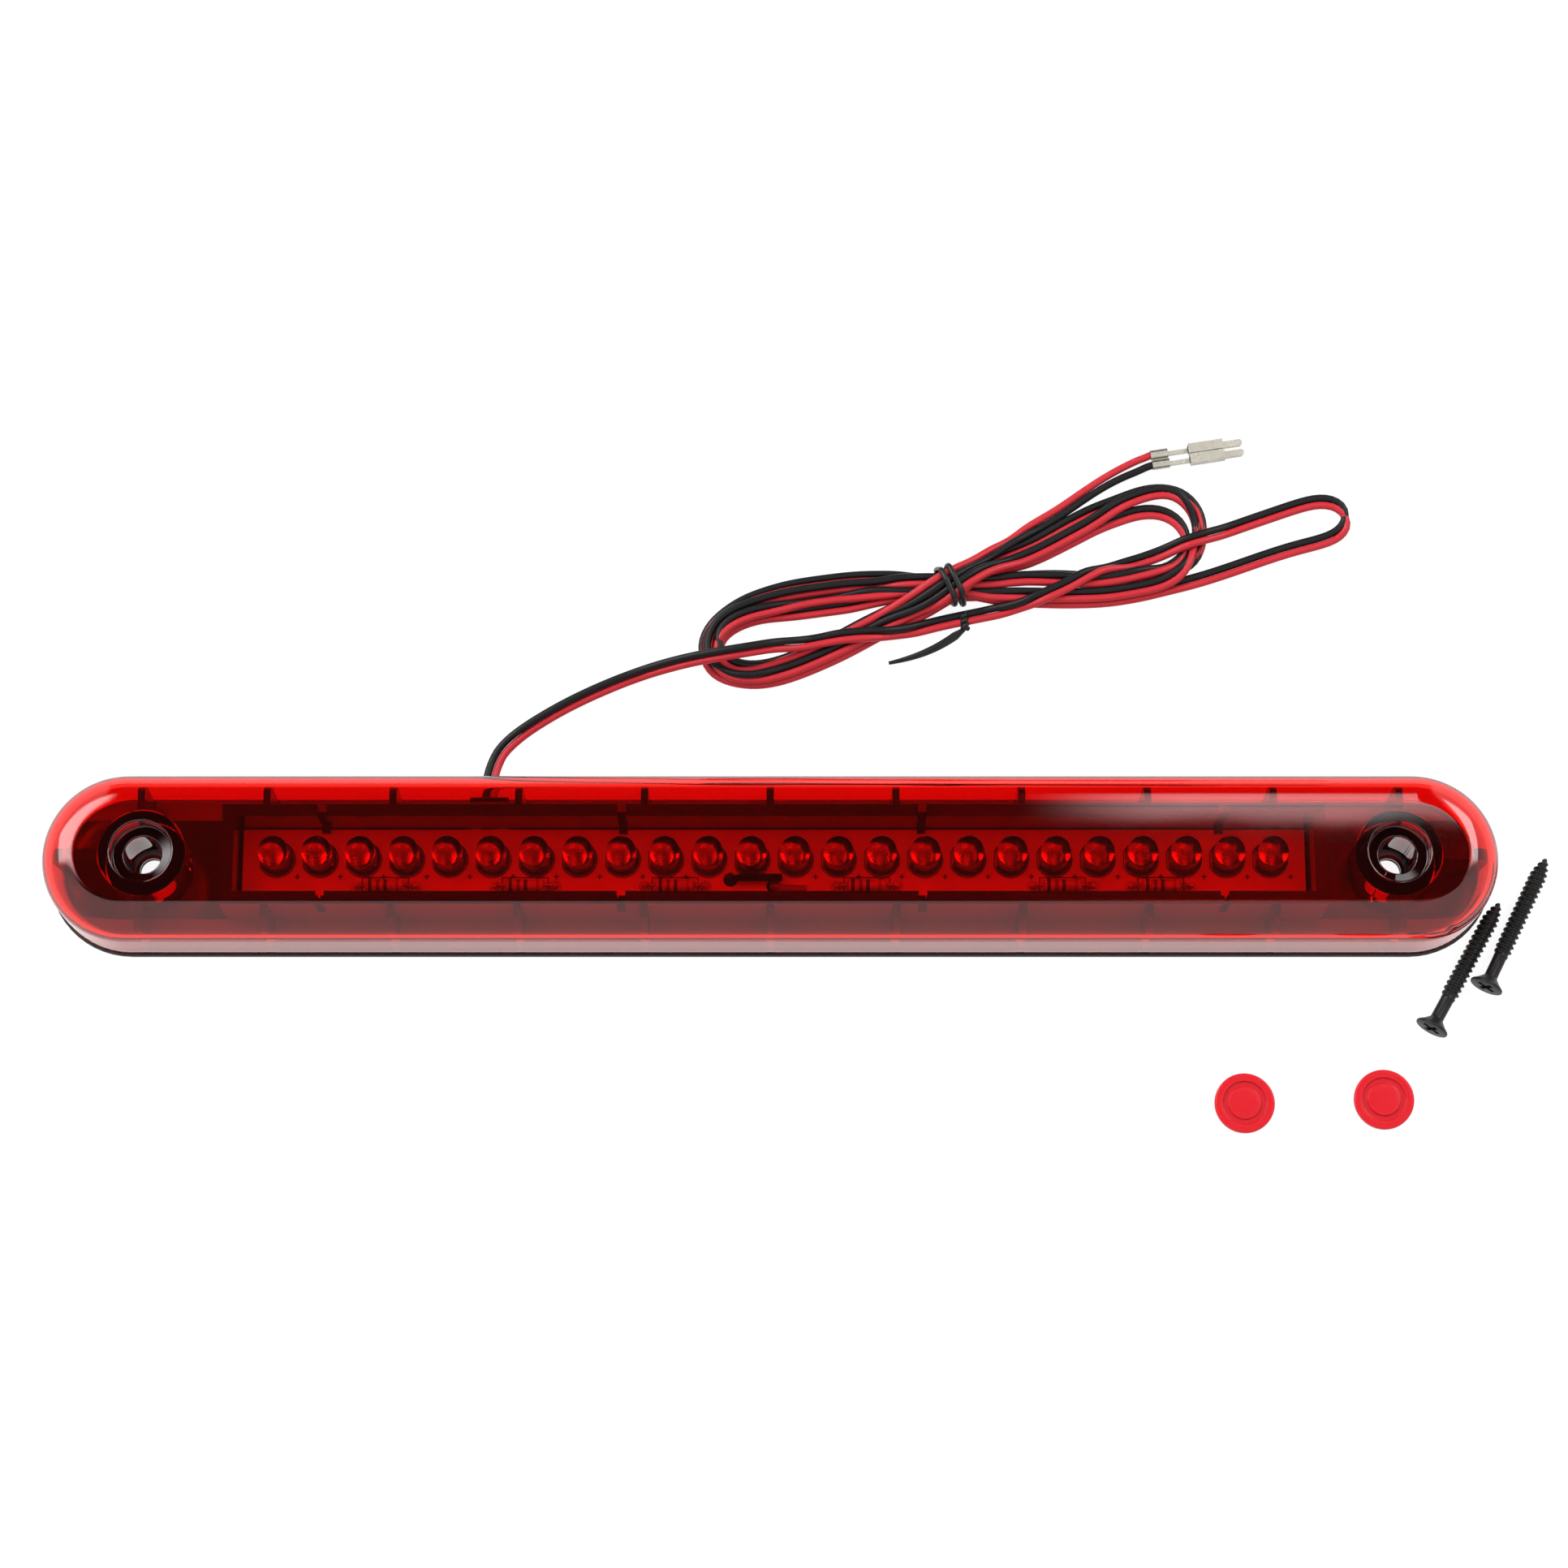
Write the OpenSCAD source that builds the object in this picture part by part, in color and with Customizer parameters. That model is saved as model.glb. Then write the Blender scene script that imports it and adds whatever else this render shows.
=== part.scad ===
// Slim third brake light: a clear red lens over a row of lamps on a circuit board, with its
// foam gasket, its flat twin lead tied in a hank, and the two screws and two caps that fix it.
// The origin is the centre of the mounting face. X runs along the lamp, Y across it, and Z
// points out through the lens.

/* [Housing] */
// Overall length of the lamp
lamp_l = 240; // [225:1:300]
// Overall width of the lens
lamp_w = 28; // [27:0.5:32]
// Height of the lens above the mounting surface
lamp_h = 16; // [16:0.1:18]
// Thickness of the lens's side wall
lens_wall = 1.7; // [1.5:0.1:2.4]
// Thickness of the lens's roof
lens_roof = 2.2; // [1.4:0.1:2.2]
// Radius of the lens's rounded top edge
edge_r = 6; // [4:0.5:6.5]
// Thickness of the foam gasket
gasket_t = 1; // [0.6:0.1:1]
// How far the gasket stands proud of the lens all round
gasket_lip = 0.3; // [0:0.1:1]

/* [Base] */
// Thickness of the base's floor
floor_t = 1; // [0.8:0.1:1]
// Clearance between the base and the lens
base_gap = 0.1; // [0.05:0.05:0.2]
// Inner width of the trough that holds the circuit board
trough_w = 12.6; // [12.4:0.1:13]
// Thickness of the trough's long walls
trough_wall = 2.2; // [1.6:0.1:2.4]
// Height of the trough's rim above the mounting surface
rim_z = 13.4; // [12:0.1:13.5]
// Thickness of the stiffening ribs
rib_t = 1.2; // [0.8:0.1:1.6]
// Distance from one rib to the next
rib_pitch = 20.7; // [18:0.1:20.8]

/* [Fixing points] */
// Distance between the two screw holes
hole_spacing = 206; // [200:1:206]
// Diameter of the screw's clearance hole
hole_d = 4.4; // [3.6:0.1:4.6]
// Diameter of the bore that the screw's head goes down
bore_d = 6.2; // [6:0.1:6.8]
// Diameter of the seat that a cap closes
seat_d = 10; // [9.5:0.1:10.4]
// Depth of the seat that a cap closes
seat_depth = 3; // [2.5:0.1:3.4]
// Outer diameter of the lens's pillar round each screw
pillar_d = 14.2; // [13:0.1:14.6]

/* [Circuit board] */
// Length of the circuit board
board_l = 176.2; // [174:0.1:178]
// Width of the circuit board
board_w = 12.2; // [12:0.1:12.3]
// Thickness of the circuit board
board_t = 1.2; // [1:0.1:1.4]
// Height of the board's top face above the mounting surface
board_z = 4.8; // [4.6:0.1:5]
// How far the board sits off centre along the lamp
board_x = 0.6; // [0:0.1:1]

/* [Lamps] */
// Distance from one lamp to the next
led_pitch = 7.16; // [6.4:0.01:7.2]
// Diameter of a lamp's body
led_d = 5; // [4.8:0.1:5.2]
// Diameter of a lamp's flange
led_flange_d = 5.8; // [5.4:0.1:6]
// Height of a lamp above the board
led_h = 8.6; // [7:0.1:8.8]

/* [Screws and caps] */
// Overall length of a screw
screw_l = 25; // [22:1:30]
// Diameter of a screw's head
screw_head_d = 5.6; // [5:0.1:5.8]
// Diameter of a screw's thread
screw_d = 3; // [2.6:0.1:3.2]
// Distance from one thread crest to the next
thread_pitch = 1.2; // [1:0.1:1.5]
// Largest diameter of a cap
cap_d = 9.9; // [9.4:0.1:9.9]
// Height of a cap
cap_h = 3; // [2.4:0.1:3.4]

/* [Lead] */
// Outer diameter of each wire of the twin lead
wire_d = 1.3; // [1.2:0.1:1.5]
// Height of the tied hank
hank_h = 9.4; // [8:0.2:11]

/* [Hidden] */
$fn = 48;
eps = 0.5;

led_count = 24;
resistor_count = 6;
function two_digits(n) = str(n < 10 ? "0" : "", n);
function led_name(i) = str("led_", two_digits(i));
function resistor_name(i) = str("resistor_", i);

// Heights
floor_z = gasket_t + floor_t;
roof_z = lamp_h - lens_roof;
board_bottom = board_z - board_t;
seat_z = lamp_h - seat_depth;

// The bead lies in a rebate under the lens's wall, behind a thin skirt
bead_t = 1;
skirt_t = 0.8;
bead_w = lamp_w - 2 * skirt_t;
base_w = lamp_w - 2 * lens_wall - 2 * base_gap;
base_l = lamp_l - 2 * lens_wall - 2 * base_gap;

// The trough
trough_end_wall = 2;
trough_l = board_l + 1;
trough_out_w = trough_w + 2 * trough_wall;
trough_out_l = trough_l + 2 * trough_end_wall;
rib_count = 11;
rib_first = -rib_pitch * (rib_count - 1) / 2;
rib_top = 13;
end_fin_t = 1.8;

// Snap clips that hold the board down
clip_x = [-73.7, -24.4, 25, 74.4];
clip_w = 1.4;
clip_reach = 1;
clip_notch_z = 8;
post_l = 3;
post_t = 0.8;

// Screw seat in the base's floor
sink_h = 0.5;

// Lamps and resistors on the board
led_y = 1;
led_leg_x = 1.27;
led_leg_t = 0.5;
led_flange_t = 1;
lead_end_z = board_bottom - 0.9;
function led_x(i) = (i - (led_count + 1) / 2) * led_pitch + 0.5;
resistor_x = [-63.8, -40.6, -15.8, 16, 48.4, 64.7];
resistor_y = -3.6;
resistor_l = 6.4;
resistor_d = 2.3;
resistor_pads = 10;
resistor_z = board_z + resistor_d / 2;
lead_d = 0.6;
lead_hole_d = 0.9;
wire_hole_d = 2.4;
solder_d = 1.7;

// Where the lead leaves the lamp
exit_x = -47;
exit_y = lamp_w / 2 + gasket_lip;
exit_z = 0.9;
grommet_w = 6.4;
grommet_h = 2.6;
grommet_y = 8.8;
slot_y = 3.4;
wire_gap = wire_d + 0.02;
red_x = exit_x + wire_gap / 2;
black_x = exit_x - wire_gap / 2;

// Inside the lamp the two wires run below the board and come up through it
under_board_z = floor_z + wire_d / 2 + 0.02;
on_board_z = board_z + wire_d / 2 + 0.02;
on_flange_z = board_z + led_flange_t + wire_d / 2 + 0.05;
black_lane_y = 4.6;
red_lane_y = 2.9;
black_up = [-6.6, -2.4];
red_up = [0.5, -3.4];
black_inner_route = [
    [black_x, exit_y, exit_z], [black_x, 8.6, exit_z], [black_x, 7, 1.5],
    [black_x, 5.8, 2.4], [black_x + 0.4, 4.9, under_board_z],
    [black_x + 1.6, black_lane_y, under_board_z],
    [-8.6, black_lane_y, under_board_z], [-7, 3.8, under_board_z], [black_up[0], 2.4, under_board_z],
    [black_up[0], -1.2, under_board_z], [black_up[0], -2.2, 3.3], [black_up[0] + 0.1, -2.4, 4.7],
    [-6, -2.45, 5.9], [-4.8, -2.45, on_flange_z], [-1.4, -2.45, on_flange_z],
    [0.4, -2.4, 6.4], [1.8, -2.3, 5.9]
];
red_inner_route = [
    [red_x, exit_y, exit_z], [red_x, 8.6, exit_z], [red_x, 7, 1.5],
    [red_x, 5.6, 2.2], [red_x, 4.2, under_board_z], [red_x + 0.6, 3.2, under_board_z],
    [red_x + 2, red_lane_y, under_board_z], [-1.6, red_lane_y, under_board_z],
    [0.1, 2.4, under_board_z], [red_up[0], 1, under_board_z], [red_up[0], -2, under_board_z],
    [red_up[0], -3.3, 3.3], [red_up[0] + 0.1, -3.4, 4.7], [1.4, -3.8, 5.6], [2.6, -4.1, on_board_z],
    [6, -4.2, on_board_z]
];

rest_z = wire_d / 2;
// The free lead: the red wire's route over the mounting surface, out to a wide loop and back
red_route = [
    [red_x, exit_y, exit_z], [red_x, 16, exit_z], [-45.7, 18.6, rest_z], [-44.5, 21, rest_z],
    [-42.4, 23.2, rest_z], [-39, 25.6, rest_z], [-34.5, 28.3, rest_z], [-28, 31.5, rest_z],
    [-21, 34.2, 1], [-14, 35.5, 3.4], [-7, 36.4, 5], [0, 37.6, 5], [7, 39, 5.2], [14, 40.4, 5.8],
    [21, 41.6, 4.4], [28, 42.9, 3], [34.5, 44.2, 3.4], [41, 46, 4.6], [48, 48.2, 5.2],
    [55, 50.9, 5.2], [62, 53.6, 5], [69, 56.3, 5], [76, 58.9, 4.2], [83, 61.4, 2], [90, 63.8, 0.9],
    [94, 64.9, rest_z], [97.2, 64.3, rest_z], [98.9, 62, rest_z], [97.9, 59.4, rest_z],
    [94.8, 57.9, rest_z], [90, 56.6, rest_z], [83.5, 54.4, rest_z], [77.5, 52.2, rest_z],
    [71, 50.1, rest_z]
];
// The two wires' other ends, from the hank to their terminals
red_tail_route = [
    [40.5, 57.8, 4.8], [48, 63.2, 3.2], [54.5, 68, 1.7], [59.5, 71.1, 0.9], [65.1, 73.5, 0.85]
];
black_tail_route = [
    [41, 56.3, 4.8], [48.5, 61.6, 3.2], [55, 66.4, 1.7], [60, 69.6, 0.9], [65.4, 71.7, 0.85]
];
// The black wire lies beside the red one, to its left and a little higher
exit_lean = [-1, 0, 0];
lie_lean = [0, 0.74, 0.68];
exit_bend = 6;

// The hank: two loops that meet at the tie
left_loop = [-4.5, 39.8];
right_loop = [66.2, 57.4];
tie_place = [30.7, 49.4];
left_loop_r = 8.4;
right_loop_r = 9.9;
waist_r = 4.6;
tie_angle = 25;
tie_wire = 1.5;
tie_fit = 0.05;
tie_tail_l = 14;
tie_tail_w = 1.6;
tie_tail_t = 0.7;
tie_tail_angle = 212;

// Terminals on the two wires' ends
terminal_l = 16;
terminal_w = 1.7;
terminal_t = 0.25;
crimp_l = 3;
neck_w = 0.7;
nose_w = 1.1;
nose_h = 0.9;
terminal_angle = 9;

// Loose screws and caps
screw_places = [[109, -27, 60], [118.3, -20, 63]];
cap_places = [[77.9, -39.4], [100.8, -38.8]];
screw_head_h = 1.9;
screw_neck_l = 4;
screw_core_d = 2.2;
recess_w = 0.9;
recess_l = 3.2;
recess_depth = 1.3;

// Vector helpers
function unit(v) = v / norm(v);
function direction(path, i) =
    unit(path[min(i + 1, len(path) - 1)] - path[max(i - 1, 0)]);
function across(v, t) = unit(v - (v * t) * t);
function lean(i) = i >= exit_bend ? lie_lean
    : exit_lean * (1 - i / exit_bend) + lie_lean * i / exit_bend;
function beside(path, gap) =
    [for (i = [0 : len(path) - 1]) path[i] + gap * across(lean(i), direction(path, i))];

// A round tube of the given diameter along a path, with one ring of corners at each point
module tube(path, d, reference = [0, 0, 1], sides = 8) {
    last = len(path) - 1;
    corners = [for (i = [0 : last])
        let (t = direction(path, i), a = across(reference, t), b = cross(t, a))
        for (k = [0 : sides - 1])
            path[i] + d / 2 * (cos(360 * k / sides) * a + sin(360 * k / sides) * b)];
    sheath = [for (i = [0 : last - 1]) for (k = [0 : sides - 1])
        let (n = (k + 1) % sides)
        [i * sides + k, (i + 1) * sides + k, (i + 1) * sides + n, i * sides + n]];
    start_cap = [for (k = [0 : sides - 1]) k];
    end_cap = [for (k = [sides - 1 : -1 : 0]) last * sides + k];
    polyhedron(corners, concat(sheath, [start_cap, end_cap]));
}

// A flat slab with semicircular ends
module slab(l, w, z0, z1) {
    translate([0, 0, z0]) linear_extrude(z1 - z0) {
        square([l - w, w], center = true);
        for (s = [-1, 1]) translate([s * (l - w) / 2, 0]) circle(d = w);
    }
}

// Half of a lens section: upright side, rounded shoulder and flat top
module crown(half_w, h, r) {
    square([half_w - r, h]);
    square([half_w, h - r]);
    translate([half_w - r, h - r]) circle(r = r);
}

// A long body with round ends and a rounded top edge
module domed_bar(l, w, z0, z1, r) {
    translate([0, 0, z0]) {
        rotate([90, 0, 90]) linear_extrude(l - w, center = true) {
            crown(w / 2, z1 - z0, r);
            mirror([1, 0]) crown(w / 2, z1 - z0, r);
        }
        for (s = [-1, 1])
            translate([s * (l - w) / 2, 0, 0])
                rotate([0, 0, -90 * s]) rotate_extrude(angle = 180) crown(w / 2, z1 - z0, r);
    }
}

module at_holes() {
    for (s = [-1, 1]) translate([s * hole_spacing / 2, 0, 0]) children();
}

module lens() {
    color([0.8, 0.05, 0.05, 0.5]) difference() {
        union() {
            difference() {
                domed_bar(lamp_l, lamp_w, gasket_t, lamp_h, edge_r);
                domed_bar(lamp_l - 2 * lens_wall, lamp_w - 2 * lens_wall, gasket_t - eps, roof_z,
                    edge_r - lens_wall);
                slab(lamp_l - 2 * skirt_t, bead_w, gasket_t - eps, gasket_t + bead_t);
            }
            at_holes() translate([0, 0, floor_z]) cylinder(d = pillar_d, h = roof_z - floor_z + eps);
        }
        at_holes() {
            cylinder(d = bore_d, h = lamp_h);
            translate([0, 0, seat_z]) cylinder(d = seat_d, h = seat_depth + eps);
        }
        translate([exit_x - grommet_w / 2, grommet_y, gasket_t - eps])
            cube([grommet_w, lamp_w, grommet_h - gasket_t + eps]);
    }
}

// Ribs between the trough and the lens, and a fin from each pillar to the lamp's end
module ribs() {
    for (i = [0 : rib_count - 1])
        translate([rib_first + i * rib_pitch - rib_t / 2, -lamp_w / 2, floor_z - eps])
            cube([rib_t, lamp_w, rib_top - floor_z + eps]);
    for (s = [-1, 1])
        translate([s * lamp_l / 2 - (s + 1) / 2 * lamp_w / 2, -end_fin_t / 2, floor_z - eps])
            cube([lamp_w / 2, end_fin_t, rib_top - floor_z + eps]);
}

module base() {
    color([0.06, 0.06, 0.07]) difference() {
        union() {
            slab(base_l, base_w, gasket_t, floor_z);
            translate([board_x - trough_out_l / 2, -trough_out_w / 2, floor_z - floor_t / 2])
                cube([trough_out_l, trough_out_w, rim_z - floor_z + floor_t / 2]);
            intersection() {
                difference() {
                    ribs();
                    at_holes() cylinder(d = pillar_d + 2 * base_gap, h = lamp_h);
                }
                domed_bar(base_l, base_w, gasket_t, roof_z - base_gap, edge_r - lens_wall);
            }
            // Feet that carry the ribs out under the lens's wall
            for (i = [0 : rib_count - 1], s = [-1, 1])
                translate([rib_first + i * rib_pitch - rib_t / 2,
                        s > 0 ? base_w / 2 - 1 : -bead_w / 2 + base_gap, gasket_t])
                    cube([rib_t, 1 + (bead_w - base_w) / 2 - base_gap, bead_t - base_gap]);
        }
        translate([board_x - trough_l / 2, -trough_w / 2, floor_z])
            cube([trough_l, trough_w, lamp_h]);
        at_holes() {
            cylinder(d = hole_d, h = lamp_h);
            translate([0, 0, floor_z - sink_h])
                cylinder(d1 = hole_d, d2 = hole_d + 2 * sink_h, h = sink_h);
        }
        // Way in for the two wires
        translate([exit_x - grommet_w / 2, slot_y, 0]) cube([grommet_w, lamp_w, grommet_h]);
        translate([exit_x - grommet_w / 2, slot_y, 0])
            cube([grommet_w, trough_out_w / 2 - slot_y, board_bottom]);
        // Slits beside the clips let the rim give
        for (x = clip_x) translate([x - clip_w / 2, -trough_out_w / 2 - eps, clip_notch_z])
            cube([clip_w, trough_out_w + 2 * eps, lamp_h]);
    }
    color([0.06, 0.06, 0.07]) for (x = clip_x, s = [-1, 1]) {
        // Post below the board's edge and snap nib above it
        translate([x - post_l / 2, s > 0 ? trough_w / 2 - post_t : -trough_w / 2, floor_z])
            cube([post_l, post_t, board_bottom - floor_z]);
        translate([x - clip_w / 2, s > 0 ? trough_w / 2 - clip_reach : -trough_w / 2, board_z])
            cube([clip_w, clip_reach, clip_reach]);
    }
}

module gasket() {
    color([0.1, 0.1, 0.1]) difference() {
        slab(lamp_l + 2 * gasket_lip, lamp_w + 2 * gasket_lip, 0, gasket_t);
        at_holes() translate([0, 0, -eps]) cylinder(d = hole_d, h = gasket_t + 2 * eps);
        translate([exit_x - grommet_w / 2, slot_y, -eps])
            cube([grommet_w, lamp_w, gasket_t + 2 * eps]);
    }
}

module sealing_bead() {
    color([0.95, 0.9, 0.88]) difference() {
        slab(lamp_l - 2 * skirt_t, bead_w, gasket_t, gasket_t + bead_t);
        slab(base_l + 2 * base_gap, base_w + 2 * base_gap, 0, lamp_h);
        for (i = [0 : rib_count - 1])
            translate([rib_first + i * rib_pitch - rib_t / 2 - base_gap, -lamp_w / 2, 0])
                cube([rib_t + 2 * base_gap, lamp_w, lamp_h]);
        translate([exit_x - grommet_w / 2, grommet_y, 0]) cube([grommet_w, lamp_w, lamp_h]);
    }
}

module circuit_board() {
    color([0.95, 0.95, 0.92]) difference() {
        translate([board_x - board_l / 2, -board_w / 2, board_bottom]) cube([board_l, board_w, board_t]);
        for (i = [1 : led_count], s = [-1, 1])
            translate([led_x(i) + s * led_leg_x, led_y, 0])
                cylinder(d = lead_hole_d, h = lamp_h, $fn = 24);
        for (x = resistor_x, s = [-1, 1])
            translate([x + s * resistor_pads / 2, resistor_y, 0])
                cylinder(d = lead_hole_d, h = lamp_h, $fn = 24);
        for (p = [black_up, red_up]) translate([p[0], p[1], 0]) cylinder(d = wire_hole_d, h = lamp_h);
    }
}

// A clear red lamp body with a flange, a flat on its left and a domed top
module led(i) {
    color([0.75, 0.1, 0.1]) translate([led_x(i), led_y, board_z]) difference() {
        union() {
            cylinder(d = led_flange_d, h = led_flange_t);
            cylinder(d = led_d, h = led_h - led_d / 2);
            translate([0, 0, led_h - led_d / 2]) sphere(d = led_d);
        }
        translate([-led_flange_d, -led_flange_d / 2, -eps])
            cube([led_flange_d - led_d / 2, led_flange_d, led_flange_t + eps]);
    }
}

// Two legs through the board, one with the cup that carries the chip and one with an anvil
module led_lead_frames() {
    shoulder_h = 3;
    arm_l = 1.9;
    arm_h = 1.2;
    cup_x = -0.3;
    cup_z = 4;
    cup_foot_d = 1.2;
    cup_rim_d = 1.9;
    cup_h = 0.7;
    anvil_x = 0.75;
    anvil_w = 0.8;
    anvil_h = 1.5;
    color([0.6, 0.6, 0.6]) for (i = [1 : led_count]) translate([led_x(i), led_y, 0]) {
        for (s = [-1, 1])
            translate([s * led_leg_x - led_leg_t / 2, -led_leg_t / 2, lead_end_z])
                cube([led_leg_t, led_leg_t, board_z - lead_end_z + shoulder_h]);
        translate([-led_leg_x - led_leg_t / 2, -led_leg_t / 2, board_z + shoulder_h])
            cube([arm_l, led_leg_t, arm_h]);
        translate([cup_x, 0, board_z + cup_z])
            cylinder(d1 = cup_foot_d, d2 = cup_rim_d, h = cup_h, $fn = 24);
        translate([anvil_x, -led_leg_t / 2, board_z + shoulder_h])
            cube([anvil_w, led_leg_t, anvil_h]);
    }
}

// A resistor's body: a rod with a bulb at each end
module resistor(i) {
    bulb_l = 1.5;
    waist_d = resistor_d * 0.84;
    color([0.85, 0.75, 0.55]) translate([resistor_x[i - 1], resistor_y, resistor_z]) rotate([0, 90, 0]) {
        cylinder(d = waist_d, h = resistor_l - bulb_l, center = true, $fn = 32);
        for (s = [-1, 1]) translate([0, 0, s * (resistor_l - bulb_l) / 2])
            cylinder(d = resistor_d, h = bulb_l, center = true, $fn = 32);
    }
}

module resistor_leads() {
    color([0.75, 0.75, 0.75]) for (x = resistor_x, s = [-1, 1]) translate([x, resistor_y, 0]) {
        translate([s * resistor_l / 2, 0, resistor_z]) rotate([0, 90 * s, 0])
            cylinder(d = lead_d, h = (resistor_pads - resistor_l) / 2, $fn = 24);
        translate([s * resistor_pads / 2, 0, lead_end_z])
            cylinder(d = lead_d, h = resistor_z - lead_end_z + lead_d / 2, $fn = 24);
    }
}

module solder_joint() {
    fillet_z = lead_end_z + 0.1;
    translate([0, 0, fillet_z])
        cylinder(d1 = lead_hole_d, d2 = solder_d, h = board_bottom - fillet_z, $fn = 24);
}

module solder_joints() {
    color([0.7, 0.7, 0.72]) {
        for (i = [1 : led_count], s = [-1, 1])
            translate([led_x(i) + s * led_leg_x, led_y, 0]) solder_joint();
        for (x = resistor_x, s = [-1, 1])
            translate([x + s * resistor_pads / 2, resistor_y, 0]) solder_joint();
    }
}

module cable_grommet() {
    color([0.08, 0.08, 0.08]) difference() {
        translate([exit_x - grommet_w / 2, grommet_y, 0])
            cube([grommet_w, exit_y - grommet_y, grommet_h]);
        for (x = [red_x, black_x])
            translate([x, grommet_y - eps, exit_z]) rotate([-90, 0, 0])
                cylinder(d = wire_d, h = lamp_w, $fn = 24);
    }
}

// A reference that no stretch inside the lamp runs along keeps the rings from twisting
inner_reference = [1, -1.4, 0.8];
module red_inner_lead() { color([0.85, 0.1, 0.1]) tube(red_inner_route, wire_d, inner_reference); }
module black_inner_lead() { color([0.1, 0.1, 0.1]) tube(black_inner_route, wire_d, inner_reference); }

module red_wire() { color([0.85, 0.1, 0.1]) tube(red_route, wire_d); }
module black_wire() { color([0.1, 0.1, 0.1]) tube(beside(red_route, wire_gap), wire_d); }

module red_wire_tail() { color([0.85, 0.1, 0.1]) tube(red_tail_route, wire_d); }
module black_wire_tail() { color([0.1, 0.1, 0.1]) tube(black_tail_route, wire_d); }

module wire_hank() {
    color([0.3, 0.1, 0.1]) linear_extrude(hank_h) {
        hull() {
            translate(left_loop) circle(r = left_loop_r);
            translate(tie_place) circle(r = waist_r);
        }
        hull() {
            translate(tie_place) circle(r = waist_r);
            translate(right_loop) circle(r = right_loop_r);
        }
    }
}

// A band round the hank's waist, twisted together below it, with one flat end sticking out
module wire_tie() {
    color([0.08, 0.08, 0.08]) {
        translate([tie_place[0], tie_place[1], 0]) rotate([0, 0, tie_angle])
            difference() {
                translate([-tie_wire / 2, -waist_r - tie_wire, 0])
                    cube([tie_wire, 2 * (waist_r + tie_wire), hank_h + tie_wire]);
                translate([-tie_wire, -waist_r - tie_fit, -eps])
                    cube([2 * tie_wire, 2 * (waist_r + tie_fit), hank_h + tie_fit + eps]);
            }
        translate([tie_place[0], tie_place[1], 0])
            rotate([0, 0, tie_angle]) translate([0, -waist_r - tie_wire / 2, 0])
                rotate([0, 0, tie_tail_angle - tie_angle]) translate([0, -tie_tail_w / 2, 0])
                    cube([tie_tail_l, tie_tail_w, tie_tail_t]);
    }
}

// A folded sheet terminal: crimp barrel, neck, box and rounded nose
module terminal() {
    box_l = 6;
    nose_l = 3.4;
    neck_l = terminal_l - crimp_l - box_l - nose_l;
    joint = 0.2;
    box_x = crimp_l + neck_l;
    hollow_w = terminal_w - 2 * terminal_t;
    color([0.8, 0.78, 0.72]) {
        rotate([0, 90, 0]) difference() {
            cylinder(d = terminal_w, h = crimp_l, $fn = 32);
            translate([0, 0, -eps]) cylinder(d = wire_d, h = crimp_l / 2 + eps, $fn = 32);
        }
        translate([crimp_l - joint, -neck_w / 2, -terminal_w / 2])
            cube([neck_l + 2 * joint, neck_w, neck_w]);
        translate([box_x, -terminal_w / 2, -terminal_w / 2]) difference() {
            cube([box_l, terminal_w, terminal_w]);
            translate([-eps, terminal_t, terminal_t]) cube([box_l + 2 * eps, hollow_w, hollow_w]);
        }
        translate([box_x + box_l - joint, -nose_w / 2, -terminal_w / 2])
            cube([nose_l - nose_w / 2 + joint, nose_w, nose_h]);
        translate([terminal_l - nose_w / 2, 0, -terminal_w / 2])
            cylinder(d = nose_w, h = nose_h, $fn = 32);
    }
}

// A terminal at a wire's end, lying on the mounting surface
module terminal_on(path) {
    wire_end = path[len(path) - 1];
    translate([wire_end[0], wire_end[1], terminal_w / 2]) rotate([0, 0, terminal_angle]) terminal();
}
module red_terminal() { terminal_on(red_tail_route); }
module black_terminal() { terminal_on(black_tail_route); }

// A countersunk self-tapping screw along +X, with its head's face at the origin
module screw() {
    head_rim = 0.3;
    point_l = 2.4;
    nib_l = 0.6;
    crest_from = 0.35;
    crest_to = 0.5;
    root_from = 0.85;
    core_r = screw_core_d / 2;
    thread_start = screw_head_h + screw_neck_l;
    turns = floor((screw_l - thread_start - point_l) / thread_pitch);
    thread_end = thread_start + turns * thread_pitch;
    steps = [[0, core_r], [crest_from, screw_d / 2], [crest_to, screw_d / 2], [root_from, core_r]];
    threads = [for (i = [0 : turns - 1]) for (step = steps)
        [step[1], thread_start + (i + step[0]) * thread_pitch]];
    outline = concat(
        [[0, 0], [screw_head_d / 2, 0], [screw_head_d / 2, head_rim], [core_r, screw_head_h]],
        threads,
        [[core_r, thread_end], [core_r * 0.75, screw_l - nib_l], [core_r * 0.35, screw_l],
         [0, screw_l]]
    );
    color([0.07, 0.07, 0.07]) rotate([0, 90, 0]) difference() {
        rotate_extrude($fn = 32) polygon(outline);
        for (a = [0, 90]) rotate([0, 0, a])
            translate([-recess_l / 2, -recess_w / 2, -eps])
                cube([recess_l, recess_w, recess_depth + eps]);
    }
}

// A screw lies on its head's rim and on its last thread
rest_span = screw_l - 3;
screw_tilt = asin((screw_head_d - screw_d) / 2 / rest_span);
screw_turn = 25;
module loose_screw(place) {
    translate([place[0], place[1], screw_head_d / 2 * cos(screw_tilt) + 0.02])
        rotate([0, 0, place[2]]) rotate([0, screw_tilt, 0]) rotate([screw_turn, 0, 0]) screw();
}
module screw_1() { loose_screw(screw_places[0]); }
module screw_2() { loose_screw(screw_places[1]); }

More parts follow.
